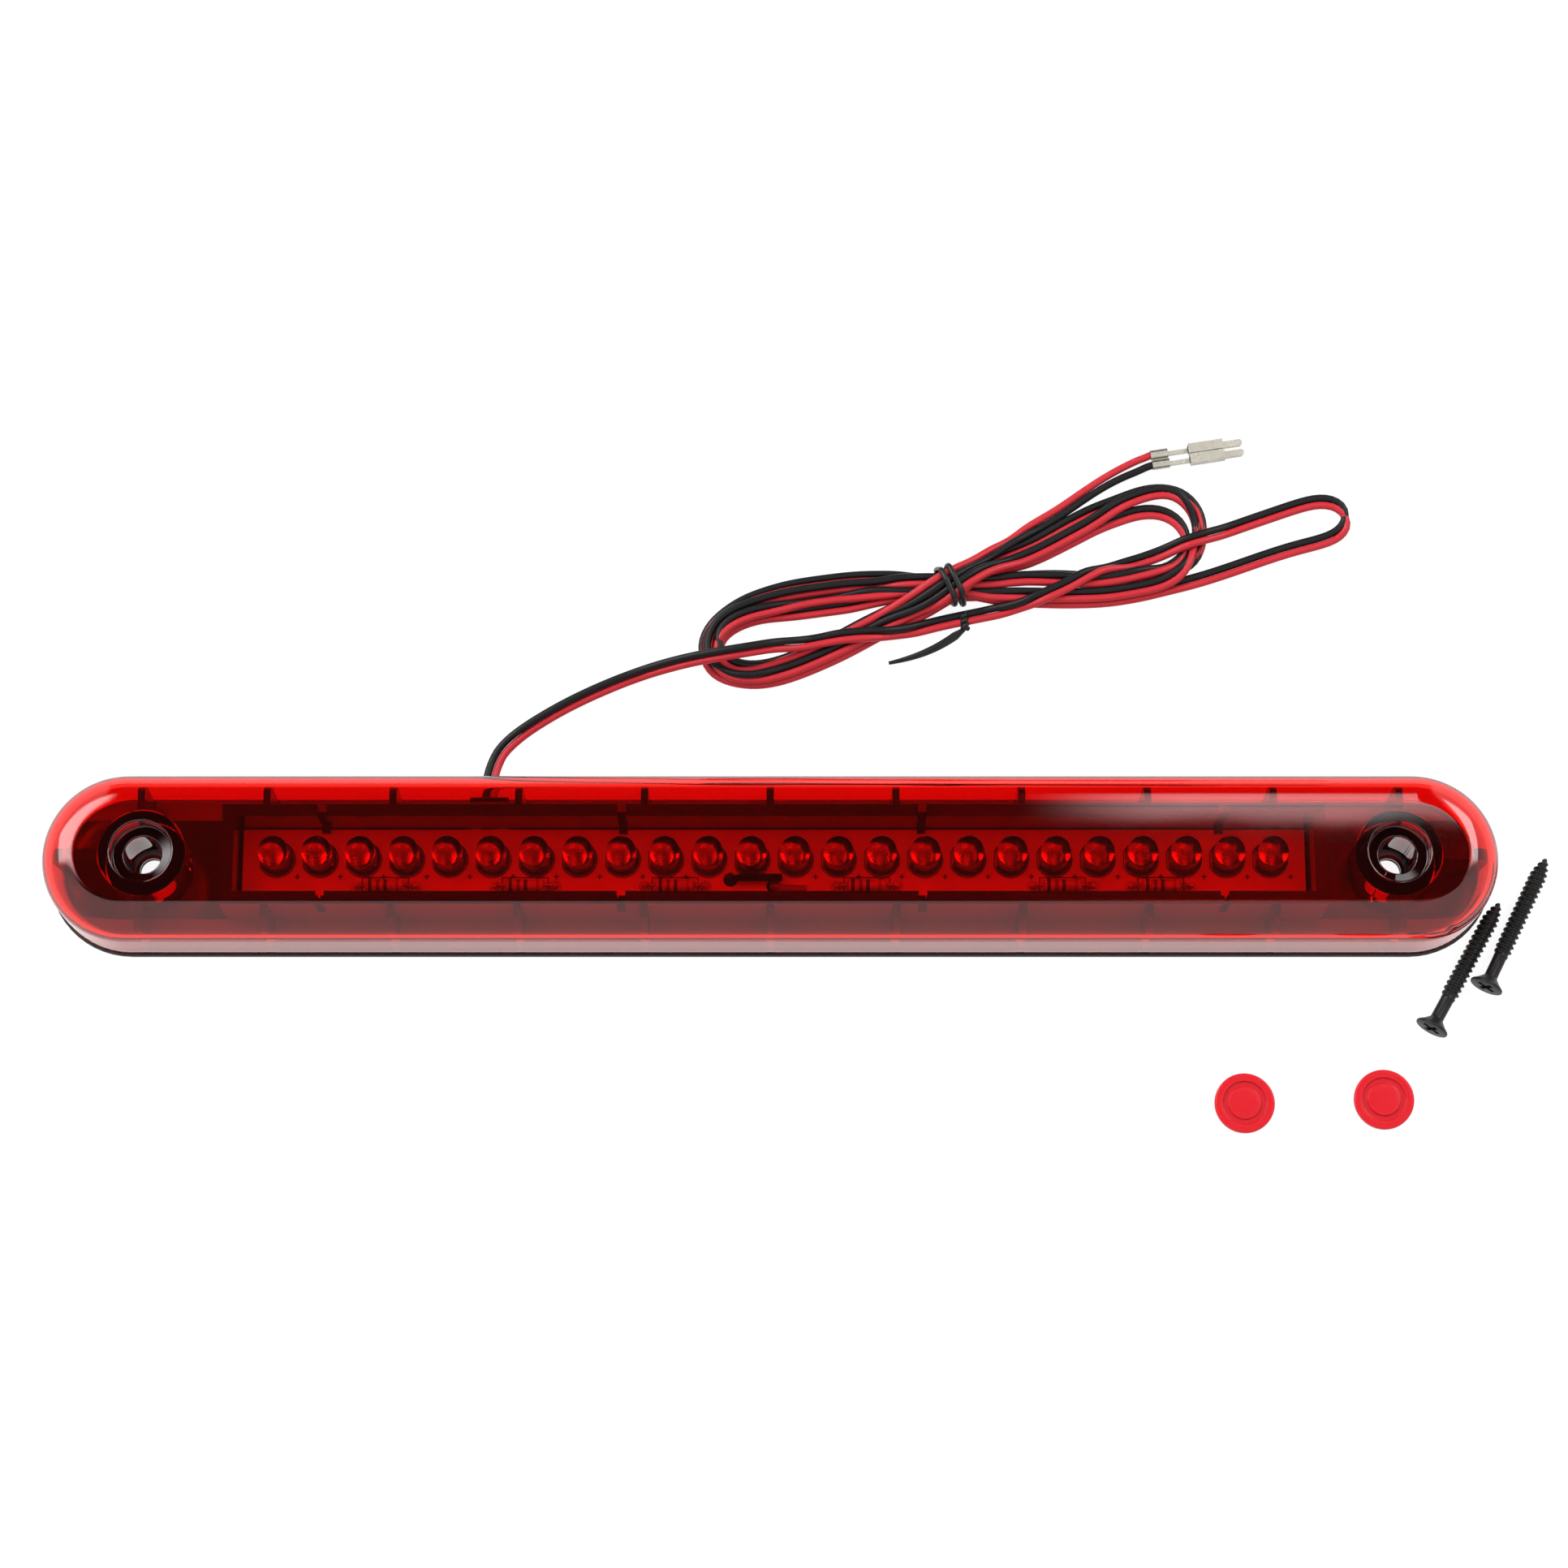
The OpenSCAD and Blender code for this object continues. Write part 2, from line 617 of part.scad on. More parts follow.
// A tapered plug with a shallow ring pressed into its top
module cap() {
    rim = 1;
    chamfer = 0.25;
    under_rim = 0.4;
    foot_d = 8.2;
    ring_in = 5.4;
    ring_out = 7.2;
    ring_depth = 0.4;
    color([0.9, 0.2, 0.2]) rotate_extrude() difference() {
        polygon([[0, 0], [foot_d / 2, 0], [cap_d / 2 - under_rim, cap_h - rim],
            [cap_d / 2, cap_h - rim], [cap_d / 2, cap_h - chamfer],
            [cap_d / 2 - chamfer, cap_h], [0, cap_h]]);
        translate([ring_in / 2, cap_h - ring_depth])
            square([(ring_out - ring_in) / 2, ring_depth + eps]);
    }
}
module cap_1() { translate(cap_places[0]) cap(); }
module cap_2() { translate(cap_places[1]) cap(); }

lens();
base();
gasket();
sealing_bead();
circuit_board();
for (i = [1 : led_count]) led(i);
for (i = [1 : resistor_count]) resistor(i);
led_lead_frames();
resistor_leads();
solder_joints();
cable_grommet();
red_inner_lead();
black_inner_lead();
red_wire();
black_wire();
wire_hank();
red_wire_tail();
black_wire_tail();
wire_tie();
red_terminal();
black_terminal();
screw_1();
screw_2();
cap_1();
cap_2();
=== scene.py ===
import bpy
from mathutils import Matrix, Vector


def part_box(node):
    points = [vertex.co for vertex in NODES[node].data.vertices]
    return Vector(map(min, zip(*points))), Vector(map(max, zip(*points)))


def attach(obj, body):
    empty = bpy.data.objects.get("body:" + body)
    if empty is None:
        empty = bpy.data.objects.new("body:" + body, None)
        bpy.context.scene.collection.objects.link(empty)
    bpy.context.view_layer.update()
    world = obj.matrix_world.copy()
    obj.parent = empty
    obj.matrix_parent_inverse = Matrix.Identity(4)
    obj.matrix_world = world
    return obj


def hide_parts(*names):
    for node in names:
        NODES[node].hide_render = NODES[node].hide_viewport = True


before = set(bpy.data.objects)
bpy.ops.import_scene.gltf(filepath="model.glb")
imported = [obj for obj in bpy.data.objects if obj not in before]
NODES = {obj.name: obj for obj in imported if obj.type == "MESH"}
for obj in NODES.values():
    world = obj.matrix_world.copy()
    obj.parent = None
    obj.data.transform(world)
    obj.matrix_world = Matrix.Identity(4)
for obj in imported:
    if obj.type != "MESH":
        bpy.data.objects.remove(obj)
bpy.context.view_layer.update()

import math

import bmesh
import bpy
import numpy as np
from mathutils import Matrix, Vector

bl_info = {
    "name": "Third brake light",
    "version": (1, 0, 0),
    "blender": (4, 5, 0),
    "location": "3D View > Sidebar > Brake Light",
    "description": "Builds a slim brake light with its lead, screws and caps",
    "category": "Add Mesh",
}

MM = 0.001
LENS_BOX = [[value / MM for value in corner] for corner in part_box("lens")]
LAMP = "lamp"
LED_COUNT = 24
LED_PITCH = 7.16
LED_SHIFT = 0.5
LED_Y = 1.0
BOARD_Z = 4.8
RESISTOR_X = (-63.8, -40.6, -15.8, 16, 48.4, 64.7)
RESISTOR_Y = -3.6
RESISTOR_RISE = 1.15
RESISTOR_PADS = 10.0
RIB_PITCH = 20.7
RIB_HALF = 0.66
TROUGH_HALF = 8.48
# The camera's height above the floor in degrees, and its distance, target and lens in millimetres
CAMERA_TILT = 75.3
CAMERA_AWAY = 690.0
CAMERA_TARGET = (2.27, 15.45)
CAMERA_LENS = 94.2
# The tie's line across the hank, in degrees from the lamp's own line
TIE_TURN = 25


def led_x(number):
    """Where lamp 1 to 24 stands along the board."""
    return (number - (LED_COUNT + 1) / 2) * LED_PITCH + LED_SHIFT


# ---------------------------------------------------------------- sizes and colours


def length(name, description, default):
    """A length in metres that a user may change."""
    return bpy.props.FloatProperty(
        name=name, description=description, default=default, unit="LENGTH", subtype="DISTANCE"
    )


def tint(name, description, default):
    """A colour that a user may change."""
    return bpy.props.FloatVectorProperty(
        name=name, description=description, default=default, size=3, subtype="COLOR", min=0, max=1
    )


class HousingSizes(bpy.types.PropertyGroup):
    """Sizes of the lens."""

    length: length("Length", "Overall length of the lens", (LENS_BOX[1][0] - LENS_BOX[0][0]) * MM)
    width: length("Width", "Overall width of the lens", (LENS_BOX[1][1] - LENS_BOX[0][1]) * MM)
    height: length("Height", "Height of the lens above the surface", LENS_BOX[1][2] * MM)
    wall: length("Wall", "Thickness of the lens's side wall", 0.0017)
    roof: length("Roof", "Thickness of the lens's roof", 0.0022)
    edge: length("Edge radius", "Radius of the rounded top edge", 0.006)
    spacing: length("Hole spacing", "Distance between the two screw holes", 0.206)


class LeadSizes(bpy.types.PropertyGroup):
    """Sizes of the twin lead."""

    wire: length("Wire", "Diameter of one wire over its insulation", 0.0013)
    gap: length("Pitch", "Distance between the two wires' centres", 0.00132)


class FixingSizes(bpy.types.PropertyGroup):
    """Sizes of the screws and caps."""

    screw: length("Screw length", "Length of a screw from its head's face to its tip", 0.025)
    thread: length("Thread", "Outer diameter of the thread", 0.003)
    head: length("Head", "Diameter of the screw's head", 0.0056)
    cap: length("Cap", "Diameter of a cap", 0.0099)


class Colours(bpy.types.PropertyGroup):
    """Colours of the plastics."""

    lens: tint("Lens", "What one face of the lens lets through", (0.93, 0.028, 0.02))
    board: tint("Board", "Solder mask of the circuit board", (0.93, 0.93, 0.9))
    red_wire: tint("Red wire", "Insulation of the red wire", (0.3, 0.01, 0.016))
    black_wire: tint("Black wire", "Insulation of the black wire", (0.0035, 0.0035, 0.0045))
    cap: tint("Cap", "Plastic of the two caps", (0.42, 0.004, 0.011))
    floor: tint("Floor", "Surface that everything lies on", (0.12, 0.12, 0.12))


# ---------------------------------------------------------------- shaders


class Link:
    """An output socket that takes part in Python sums by adding Math nodes."""

    def __init__(self, nodes, socket):
        self.nodes = nodes
        self.socket = socket

    def maths(self, operation, first, second):
        return self.nodes.add("Math", {"operation": operation}, {0: first, 1: second})

    def __add__(self, other):
        return self.maths("ADD", self, other)

    def __radd__(self, other):
        return self.maths("ADD", other, self)

    def __sub__(self, other):
        return self.maths("SUBTRACT", self, other)

    def __rsub__(self, other):
        return self.maths("SUBTRACT", other, self)

    def __mul__(self, other):
        return self.maths("MULTIPLY", self, other)

    def __rmul__(self, other):
        return self.maths("MULTIPLY", other, self)


class Nodes:
    """Adds nodes to a material's or the world's tree."""

    def __init__(self, tree):
        self.tree = tree
        tree.nodes.clear()

    def add(self, kind, settings=None, inputs=None, output=0):
        """One node of a type, with its settings made first and then its sockets fed."""
        node = self.tree.nodes.new("ShaderNode" + kind)
        for name, value in (settings or {}).items():
            if name == "stops":
                ramp = node.color_ramp.elements
                while len(ramp) < len(value):
                    ramp.new(0.5)
                for stop, (place, colour) in zip(ramp, value):
                    stop.position = place
                    stop.color = colour
            elif name == "ramp":
                node.color_ramp.interpolation = value
            else:
                setattr(node, name, value)
        for name, value in (inputs or {}).items():
            self.feed(node.inputs[name], value)
        return Link(self, node.outputs[output]) if node.outputs else None

    def feed(self, socket, value):
        """Links or sets one input socket."""
        if isinstance(value, Link):
            self.tree.links.new(value.socket, socket)
        else:
            socket.default_value = value

    def place(self):
        """The piece's own coordinates, in metres."""
        return self.add("TexCoord", output="Object")

    def noise(self, size, detail=4.0, where=None):
        """Noise from 0 to 1 whose lumps are about size millimetres across."""
        inputs = {"Scale": 1 / (size * MM), "Detail": detail}
        inputs["Vector"] = where or self.place()
        return self.add("TexNoise", None, inputs)

    def blend(self, factor, first, second):
        """A colour between two, by a factor from 0 to 1."""
        settings = {"data_type": "RGBA"}
        return self.add("Mix", settings, {0: factor, 6: opaque(first), 7: opaque(second)}, 2)

    def step(self, value, start, end):
        """0 before start, 1 after end, and smooth between."""
        inputs = {"Value": value, "From Min": start, "From Max": end}
        return self.add("MapRange", {"interpolation_type": "SMOOTHSTEP"}, inputs)

    def window(self, value, rise, fall):
        """1 between a rising and a falling edge, each given by its start and end."""
        return self.step(value, *rise) * (1 - self.step(value, *fall))

    def bump(self, height, depth):
        """A surface normal from a height of 0 to 1 that stands for depth millimetres."""
        return self.add("Bump", None, {"Height": height, "Distance": depth * MM, "Strength": 1.0})

    def axes(self, vector, *wanted):
        """Some of a vector's three numbers, by their places."""
        return [self.add("SeparateXYZ", None, {0: vector}, axis) for axis in wanted]

    def absolute(self, value):
        return self.add("Math", {"operation": "ABSOLUTE"}, {0: value})


def opaque(colour):
    """A colour with its alpha."""
    return colour if isinstance(colour, Link) or len(colour) == 4 else (*colour, 1.0)


def new_finish(name):
    """An empty material, its node adder, and its Principled shader."""
    material = bpy.data.materials.new(name)
    material.use_nodes = True
    nodes = Nodes(material.node_tree)
    surface = nodes.add("BsdfPrincipled").socket.node
    nodes.add("OutputMaterial", None, {"Surface": Link(nodes, surface.outputs[0])})
    return material, nodes, surface


def finish(name, colour, rough, worn, grain=0.3, depth=0.01, mottle=8.0, **fixed):
    """A moulded or coated finish: slow mottling of its colour and gloss, and a fine grain.

    colour turns into worn over lumps of mottle millimetres, grain and depth are the size and the
    height of the fine relief in millimetres, and fixed sets the shader's other sockets.
    """
    material, nodes, surface = new_finish(name)
    lumps = nodes.noise(mottle)
    fine = nodes.noise(grain, 6.0)
    nodes.feed(surface.inputs["Base Color"], nodes.blend(lumps, colour, worn))
    nodes.feed(surface.inputs["Roughness"], rough + 0.1 * (lumps + fine - 1.0))
    nodes.feed(surface.inputs["Normal"], nodes.bump(fine, depth))
    for socket, value in fixed.items():
        surface.inputs[socket.replace("_", " ")].default_value = value
    return material


def lens_finish(colour):
    """Clear red moulded plastic, polished, with faint flow waves."""
    material, nodes, surface = new_finish("clear red plastic")
    waves = nodes.noise(28.0, 1.0)
    fine = nodes.noise(1.2, 3.0)
    deep = tuple(0.93 * value for value in colour)
    nodes.feed(surface.inputs["Base Color"], nodes.blend(waves, colour, deep))
    nodes.feed(surface.inputs["Roughness"], 0.012 + 0.02 * fine)
    nodes.feed(surface.inputs["Normal"], nodes.bump(waves, 0.02))
    surface.inputs["IOR"].default_value = 1.49
    surface.inputs["Transmission Weight"].default_value = 0.994
    return material


def epoxy_finish():
    """Clear cast epoxy of the lamps, slightly rosy, with a faint haze."""
    material, nodes, surface = new_finish("clear epoxy")
    haze = nodes.noise(1.5, 3.0)
    nodes.feed(surface.inputs["Base Color"], nodes.blend(haze, (0.97, 0.88, 0.87), (0.92, 0.8, 0.78)))
    nodes.feed(surface.inputs["Roughness"], 0.1 + 0.08 * haze)
    nodes.feed(surface.inputs["Normal"], nodes.bump(haze, 0.004))
    surface.inputs["IOR"].default_value = 1.5
    surface.inputs["Transmission Weight"].default_value = 1.0
    return material


def moulding_finish():
    """Gloss black moulding, with painted light: a paler colour beside the trough and between the ribs."""
    material, nodes, surface = new_finish("black moulding")
    x, y = nodes.axes(nodes.place(), 0, 1)
    share = nodes.add("Math", {"operation": "FRACT"}, {0: x * (1 / (RIB_PITCH * MM)) + 5.5})
    between = nodes.step(nodes.absolute(share - 0.5), RIB_HALF / RIB_PITCH, (RIB_HALF + 0.04) / RIB_PITCH)
    # Painted light: outside the trough and between the ribs the colour turns a paler grey, as if lit, and the
    # gloss is rougher there.
    beside = nodes.step(nodes.absolute(y), (TROUGH_HALF - 0.18) * MM, TROUGH_HALF * MM) * between
    lumps, fine = nodes.noise(14.0), nodes.noise(0.4, 6.0)
    black = nodes.blend(lumps, (0.016, 0.015, 0.015), (0.026, 0.024, 0.024))
    painted_light_grey = nodes.blend(lumps, (0.17, 0.16, 0.16), (0.13, 0.12, 0.12))
    nodes.feed(surface.inputs["Base Color"], nodes.blend(beside, black, painted_light_grey))
    nodes.feed(surface.inputs["Roughness"], 0.14 + 0.08 * (lumps + fine - 1.0) + 0.3 * beside)
    nodes.feed(surface.inputs["Normal"], nodes.bump(fine, 0.004))
    return material


def foam_finish():
    """Black closed-cell foam, with cut cells over its edge."""
    material, nodes, surface = new_finish("black foam")
    cells = nodes.add("TexVoronoi", None, {"Scale": 1 / (0.35 * MM), "Vector": nodes.place()})
    dust = nodes.noise(3.0)
    nodes.feed(surface.inputs["Base Color"], nodes.blend(dust, (0.012, 0.012, 0.012), (0.04, 0.038, 0.036)))
    nodes.feed(surface.inputs["Roughness"], 0.8 + 0.15 * dust)
    nodes.feed(surface.inputs["Normal"], nodes.bump(cells, 0.12))
    return material


def resistor_finish():
    """Beige lacquer with four colour bands along the body."""
    material, nodes, surface = new_finish("banded lacquer")
    (along,) = nodes.axes(nodes.place(), 0)
    beige, red, brown, gold = (
        (0.72, 0.56, 0.34, 1), (0.3, 0.02, 0.015, 1), (0.09, 0.03, 0.012, 1), (0.5, 0.3, 0.06, 1),
    )
    bands = ((-2.35, brown), (-1.05, red), (0.15, brown), (2.15, gold))
    body, half_band = 6.4, 0.3
    stops = [(0.0, beige)]
    for centre, colour in bands:
        start, end = (0.5 + (centre + side * half_band) / body for side in (-1, 1))
        stops += [(start, colour), (end, beige)]
    ramp = nodes.add("ValToRGB", {"ramp": "CONSTANT", "stops": stops}, {0: along * (1 / (body * MM)) + 0.5})
    grain = nodes.noise(0.6)
    dull = nodes.add("Mix", {"data_type": "RGBA", "blend_type": "MULTIPLY"},
                     {0: grain * 0.3, 6: ramp, 7: (0.7, 0.66, 0.6, 1)}, 2)
    nodes.feed(surface.inputs["Base Color"], dull)
    nodes.feed(surface.inputs["Roughness"], 0.35 + 0.2 * grain)
    nodes.feed(surface.inputs["Normal"], nodes.bump(grain, 0.02))
    return material


def brushed_finish(name, colour, rough, stretch=(1.0, 6.0, 6.0)):
    """Drawn or pressed tin-plated metal, with fine lines along it and dull spots."""
    material, nodes, surface = new_finish(name)
    lines_at = nodes.add("Mapping", None, {"Vector": nodes.place(), "Scale": stretch})
    lines = nodes.noise(0.8, 5.0, lines_at)
    spots = nodes.noise(2.0, 3.0)
    dull = tuple(0.6 * value for value in colour)
    nodes.feed(surface.inputs["Base Color"], nodes.blend(spots, colour, dull))
    nodes.feed(surface.inputs["Roughness"], rough + 0.2 * (lines + spots - 1.0))
    nodes.feed(surface.inputs["Normal"], nodes.bump(lines, 0.01))
    surface.inputs["Metallic"].default_value = 1.0
    return material


# ---------------------------------------------------------------- meshes


def piece(name, points, faces, finish_made, sharp=32.0):
    """A mesh object from points in millimetres, with outward faces and smooth shading."""
    shape = bpy.data.meshes.new(name)
    shape.from_pydata([tuple(MM * value for value in point) for point in points], [], faces)
    edit = bmesh.new()
    edit.from_mesh(shape)
    bmesh.ops.remove_doubles(edit, verts=edit.verts, dist=1e-7)
    bmesh.ops.recalc_face_normals(edit, faces=edit.faces)
    edit.to_mesh(shape)
    edit.free()
    soften(shape, sharp)
    if finish_made:
        shape.materials.append(finish_made)
    made = bpy.data.objects.new(name, shape)
    bpy.context.scene.collection.objects.link(made)
    return made


def repeated(first, name):
    """Another object with the first one's mesh."""
    made = bpy.data.objects.new(name, first.data)
    bpy.context.scene.collection.objects.link(made)
    return made


def set_down(made, x, y, z=0.0):
    """Puts a piece at a place in millimetres."""
    made.location = Vector((x, y, z)) * MM
    bpy.context.view_layer.update()


def soften(shape, sharp):
    """Smooth shading, with edges over sharp degrees kept crisp."""
    shape.shade_smooth()
    shape.set_sharp_from_angle(angle=math.radians(sharp))


def belongs(made, body=LAMP, stands_for=()):
    """The piece rides on a body and stands for CAD nodes."""
    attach(made, body)
    if stands_for:
        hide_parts(*stands_for)
    return made


def turned(outline, sides=64):
    """Points and faces of a solid turned round Z from (radius, height) pairs.

    A radius may be a function of the height and the angle.
    """
    points, faces, rings = [], [], []
    for radius, height in outline:
        if not callable(radius) and radius < 1e-6:
            rings.append([len(points)] * sides)
            points.append((0.0, 0.0, height))
            continue
        rings.append(list(range(len(points), len(points) + sides)))
        for side in range(sides):
            turn = 2 * math.pi * side / sides
            reach = radius(height, turn) if callable(radius) else radius
            points.append((reach * math.cos(turn), reach * math.sin(turn), height))
    for low, high in zip(rings, rings[1:]):
        for side in range(sides):
            after = (side + 1) % sides
            corners = [low[side], low[after], high[after], high[side]]
            corners = [corner for at, corner in enumerate(corners) if corner not in corners[:at]]
            if len(corners) > 2:
                faces.append(corners)
    return points, faces


def corner(centre, radius, start, end, steps=6):
    """(radius, height) pairs along a rounded corner, between two angles in degrees."""
    turns = [math.radians(start + (end - start) * step / steps) for step in range(steps + 1)]
    return [(centre[0] + radius * math.cos(t), centre[1] + radius * math.sin(t)) for t in turns]


def joined(parts):
    """Several (points, faces) as one."""
    points, faces = [], []
    for more_points, more_faces in parts:
        start = len(points)
        points += [tuple(point) for point in more_points]
        faces += [[start + corner_at for corner_at in face] for face in more_faces]
    return points, faces


def moved(part, x=0.0, y=0.0, z=0.0):
    """(points, faces) shifted."""
    return [(px + x, py + y, pz + z) for px, py, pz in part[0]], part[1]


def layers(rings):
    """Faces between closed rings of equal numbers of points, with both ends closed."""
    count = len(rings[0])
    points = [point for ring in rings for point in ring]
    faces = [list(range(count))[::-1], list(range(len(points) - count, len(points)))]
    for level in range(len(rings) - 1):
        for at in range(count):
            after = (at + 1) % count
            low, high = level * count, (level + 1) * count
            faces.append([low + at, low + after, high + after, high + at])
    return points, faces


def round_ended(half_run, radius, height, steps=40):
    """A ring of points round a long shape with semicircular ends."""
    ring = []
    for sign in (1, -1):
        for step in range(steps + 1):
            turn = math.pi * (step / steps - 0.5) + (0 if sign > 0 else math.pi)
            ring.append((sign * half_run + radius * math.cos(turn), radius * math.sin(turn), height))
    return ring


def domed(half_run, radius, low, high, edge, steps=14):
    """A long body with round ends and a rounded top edge."""
    rings = [round_ended(half_run, radius, low)]
    for step in range(steps + 1):
        turn = math.pi / 2 * step / steps
        inset = edge * (1 - math.cos(turn))
        rings.append(round_ended(half_run, radius - inset, high - edge + edge * math.sin(turn)))
    return layers(rings)


def box(low, high):
    """A block between two corners."""
    ring = lambda z: [(low[0], low[1], z), (high[0], low[1], z), (high[0], high[1], z), (low[0], high[1], z)]
    return layers([ring(low[2]), ring(high[2])])


def swept(path, section):
    """A closed tube along path; section gives (across, up) pairs at each of its points."""
    path = np.array(path, float)
    along = np.gradient(path, axis=0)
    along /= np.linalg.norm(along, axis=1)[:, None]
    rings = []
    for at, (point, ahead) in enumerate(zip(path, along)):
        side = np.cross(ahead, (0, 0, 1))
        side /= np.linalg.norm(side) or 1
        up = np.cross(side, ahead)
        rings.append([tuple(point + a * side + b * up) for a, b in section(at / (len(path) - 1))])
    return layers(rings)


def carve(body, tool, operation):
    """Cuts the tool out of the body or adds it."""
    change = body.modifiers.new(operation.lower(), "BOOLEAN")
    change.operation = operation
    change.solver = "EXACT"
    change.object = tool
    bpy.context.view_layer.update()
    ready = body.evaluated_get(bpy.context.evaluated_depsgraph_get())
    result = bpy.data.meshes.new_from_object(ready)
    body.modifiers.clear()
    body.data = result
    bpy.data.objects.remove(tool)


def redress(node, made):
    """Gives a CAD node its finish."""
    thing = NODES[node]
    thing.data.materials.clear()
    thing.data.materials.append(made)


# ---------------------------------------------------------------- the stage


class BRAKE_OT_stage(bpy.types.Operator):
    """Sets the camera, the sky and the pale floor"""

    bl_idname = "brake.stage"
    bl_label = "Stage"

    def execute(self, context):
        scene = context.scene
        tilt = math.radians(CAMERA_TILT)
        x, y = CAMERA_TARGET
        eye = Vector((x, y - CAMERA_AWAY * math.cos(tilt), CAMERA_AWAY * math.sin(tilt))) * MM
        lens = bpy.data.cameras.new("camera")
        lens.lens = CAMERA_LENS
        lens.sensor_width = 36
        lens.clip_start = 0.01
        camera = bpy.data.objects.new("camera", lens)
        camera.matrix_world = Matrix.Translation(eye) @ Matrix.Rotation(math.pi / 2 - tilt, 4, "X")
        scene.collection.objects.link(camera)
        scene.camera = camera

        floor = piece("floor", *box((-1500, -1500, -5), (1500, 1500, 0)), None)
        floor.data.materials.append(
            finish("pale floor", tuple(scene.brake_colours.floor), 0.9, (0.11, 0.11, 0.11), 2.0, 0.004, 60.0,
                   Emission_Color=(1, 1, 1, 1), Emission_Strength=0.9)
        )
        self.sky(scene)

        scene.view_settings.view_transform = "Standard"
        scene.view_settings.look = "None"
        cycles = scene.cycles
        cycles.use_denoising = True
        cycles.max_bounces = 24
        cycles.transmission_bounces = 24
        cycles.glossy_bounces = 10
        cycles.diffuse_bounces = 6
        cycles.transparent_max_bounces = 16
        cycles.caustics_refractive = True
        cycles.caustics_reflective = True
        cycles.sample_clamp_indirect = 10
        return {"FINISHED"}

    def sky(self, scene):
        """A pale sky with a dark screen behind the lamp, a bright panel in it and two side boxes.

        Places in it are the direction's x, and its angle from straight up towards the back.
        """
        world = bpy.data.worlds.new("studio")
        world.use_nodes = True
        scene.world = world
        nodes = Nodes(world.node_tree)
        toward = nodes.add("TexCoord", output="Generated")
        x, y, z = nodes.axes(toward, 0, 1, 2)
        back = nodes.add("Math", {"operation": "ARCTAN2"}, {0: y, 1: z})
        angle = lambda *turns: [math.radians(turn) for turn in turns]
        across = nodes.window(x, (-0.36, -0.3), (0.3, 0.36))
        behind = nodes.step(back, *angle(3.6, 5))
        screen = behind * (1 - nodes.step(back, *angle(92, 98)))
        panel = nodes.window(back, angle(14.1, 14.35), angle(40, 52))
        panel = panel * nodes.window(x, (0.055, 0.1), (0.162, 0.166))
        sides = nodes.window(x, (0.36, 0.4), (0.66, 0.7)) + nodes.window(x, (-0.86, -0.8), (-0.3, -0.2))
        boxes = sides * nodes.window(back, angle(8, 14), angle(42, 54))
        light = 1.1 * (1 - across * screen) + 0.2 * (1 - behind) + 0.03 + 4.2 * panel + 8.5 * boxes
        shade = nodes.add("Background", None, {"Color": (1, 1, 1, 1), "Strength": light})
        nodes.add("OutputWorld", None, {"Surface": shade})


# ---------------------------------------------------------------- the lead

# The free lead from the housing to the hank, along the red wire, in millimetres
LEAD = (
    (-46.34, 14.3, 0.9), (-46.34, 16, 0.9), (-45.7, 18.6, 0.65), (-44.5, 21, 0.65),
    (-42.4, 23.2, 0.65), (-39, 25.6, 0.65), (-34.5, 28.3, 0.65), (-28, 31.5, 0.65), (-21, 34.2, 1),
    (-14, 35.5, 3.4), (-7, 36.4, 5), (0, 37.6, 5), (7, 39, 5.2), (14, 40.4, 5.8), (21, 41.6, 4.4),
    (28, 42.9, 3), (34.5, 44.2, 3.4), (41, 46, 4.6), (48, 48.2, 5.2), (55, 50.9, 5.2),
    (62, 53.6, 5), (69, 56.3, 5), (76, 58.9, 4.2), (83, 61.4, 2), (90, 63.8, 0.9),
    (94, 64.9, 0.65), (97.2, 64.3, 0.65), (98.9, 62, 0.65), (97.9, 59.4, 0.65),
    (94.8, 57.9, 0.65), (90, 56.6, 0.65), (83.5, 54.4, 0.65), (77.5, 52.2, 0.65), (71, 50.1, 0.65),
)
# The hank is a figure of eight of four turns that meet at the tie. Each of its three stretches
# has an outer and an inner rim, and each turn runs in its own lane between them.
TIE = np.array([30.6, 49.6])
LOWER = (
    ((62, 48.6), (55, 47.8), (48, 47.4), (41, 47.4), (35, 47.9)),
    ((61, 52.0), (55, 51.6), (48, 51.8), (41, 51.9), (35, 51.6)),
)
LEFT = (
    ((20.5, 51.2), (13.6, 51.2), (6.6, 50.4), (-0.3, 48.8), (-6.4, 46.2), (-10.3, 43), (-12, 39),
     (-10.7, 35.4), (-6.5, 33.4), (-2.4, 33.1), (3.8, 34.8), (10.8, 38.1), (17.7, 41.9)),
    ((20.5, 48.2), (13.6, 46.9), (6.6, 45.8), (-0.3, 44.9), (-4.2, 44.3), (-7.7, 42.4), (-9, 39.8),
     (-7.7, 37), (-4.2, 35.3), (-0.6, 35.6), (4.4, 37.4), (10.6, 40), (17.3, 43.3)),
)
RIGHT = (
    ((42.8, 56.8), (48.4, 60.2), (55.5, 63.8), (62.5, 66.4), (68.1, 67.2), (72.7, 65), (75, 60.7),
     (75.4, 56.5), (73, 52.2)),
    ((42.8, 54), (48.4, 56.3), (55.4, 59.4), (61, 61.8), (65, 62.4), (68.1, 61.2), (69.4, 58.6),
     (69, 55.4), (66.6, 53)),
)
TAIL = ((41, 57.3, 4.8), (48.3, 62.4, 3.2), (54.8, 67.2, 1.7), (59.8, 70.3, 0.95), (65.25, 72.6, 0.85))
LOWER_LANES = (0.0, 0.9, 0.9, 0.1)
LEFT_LANES = (0.95, 0.05, 0.25, 0.8)
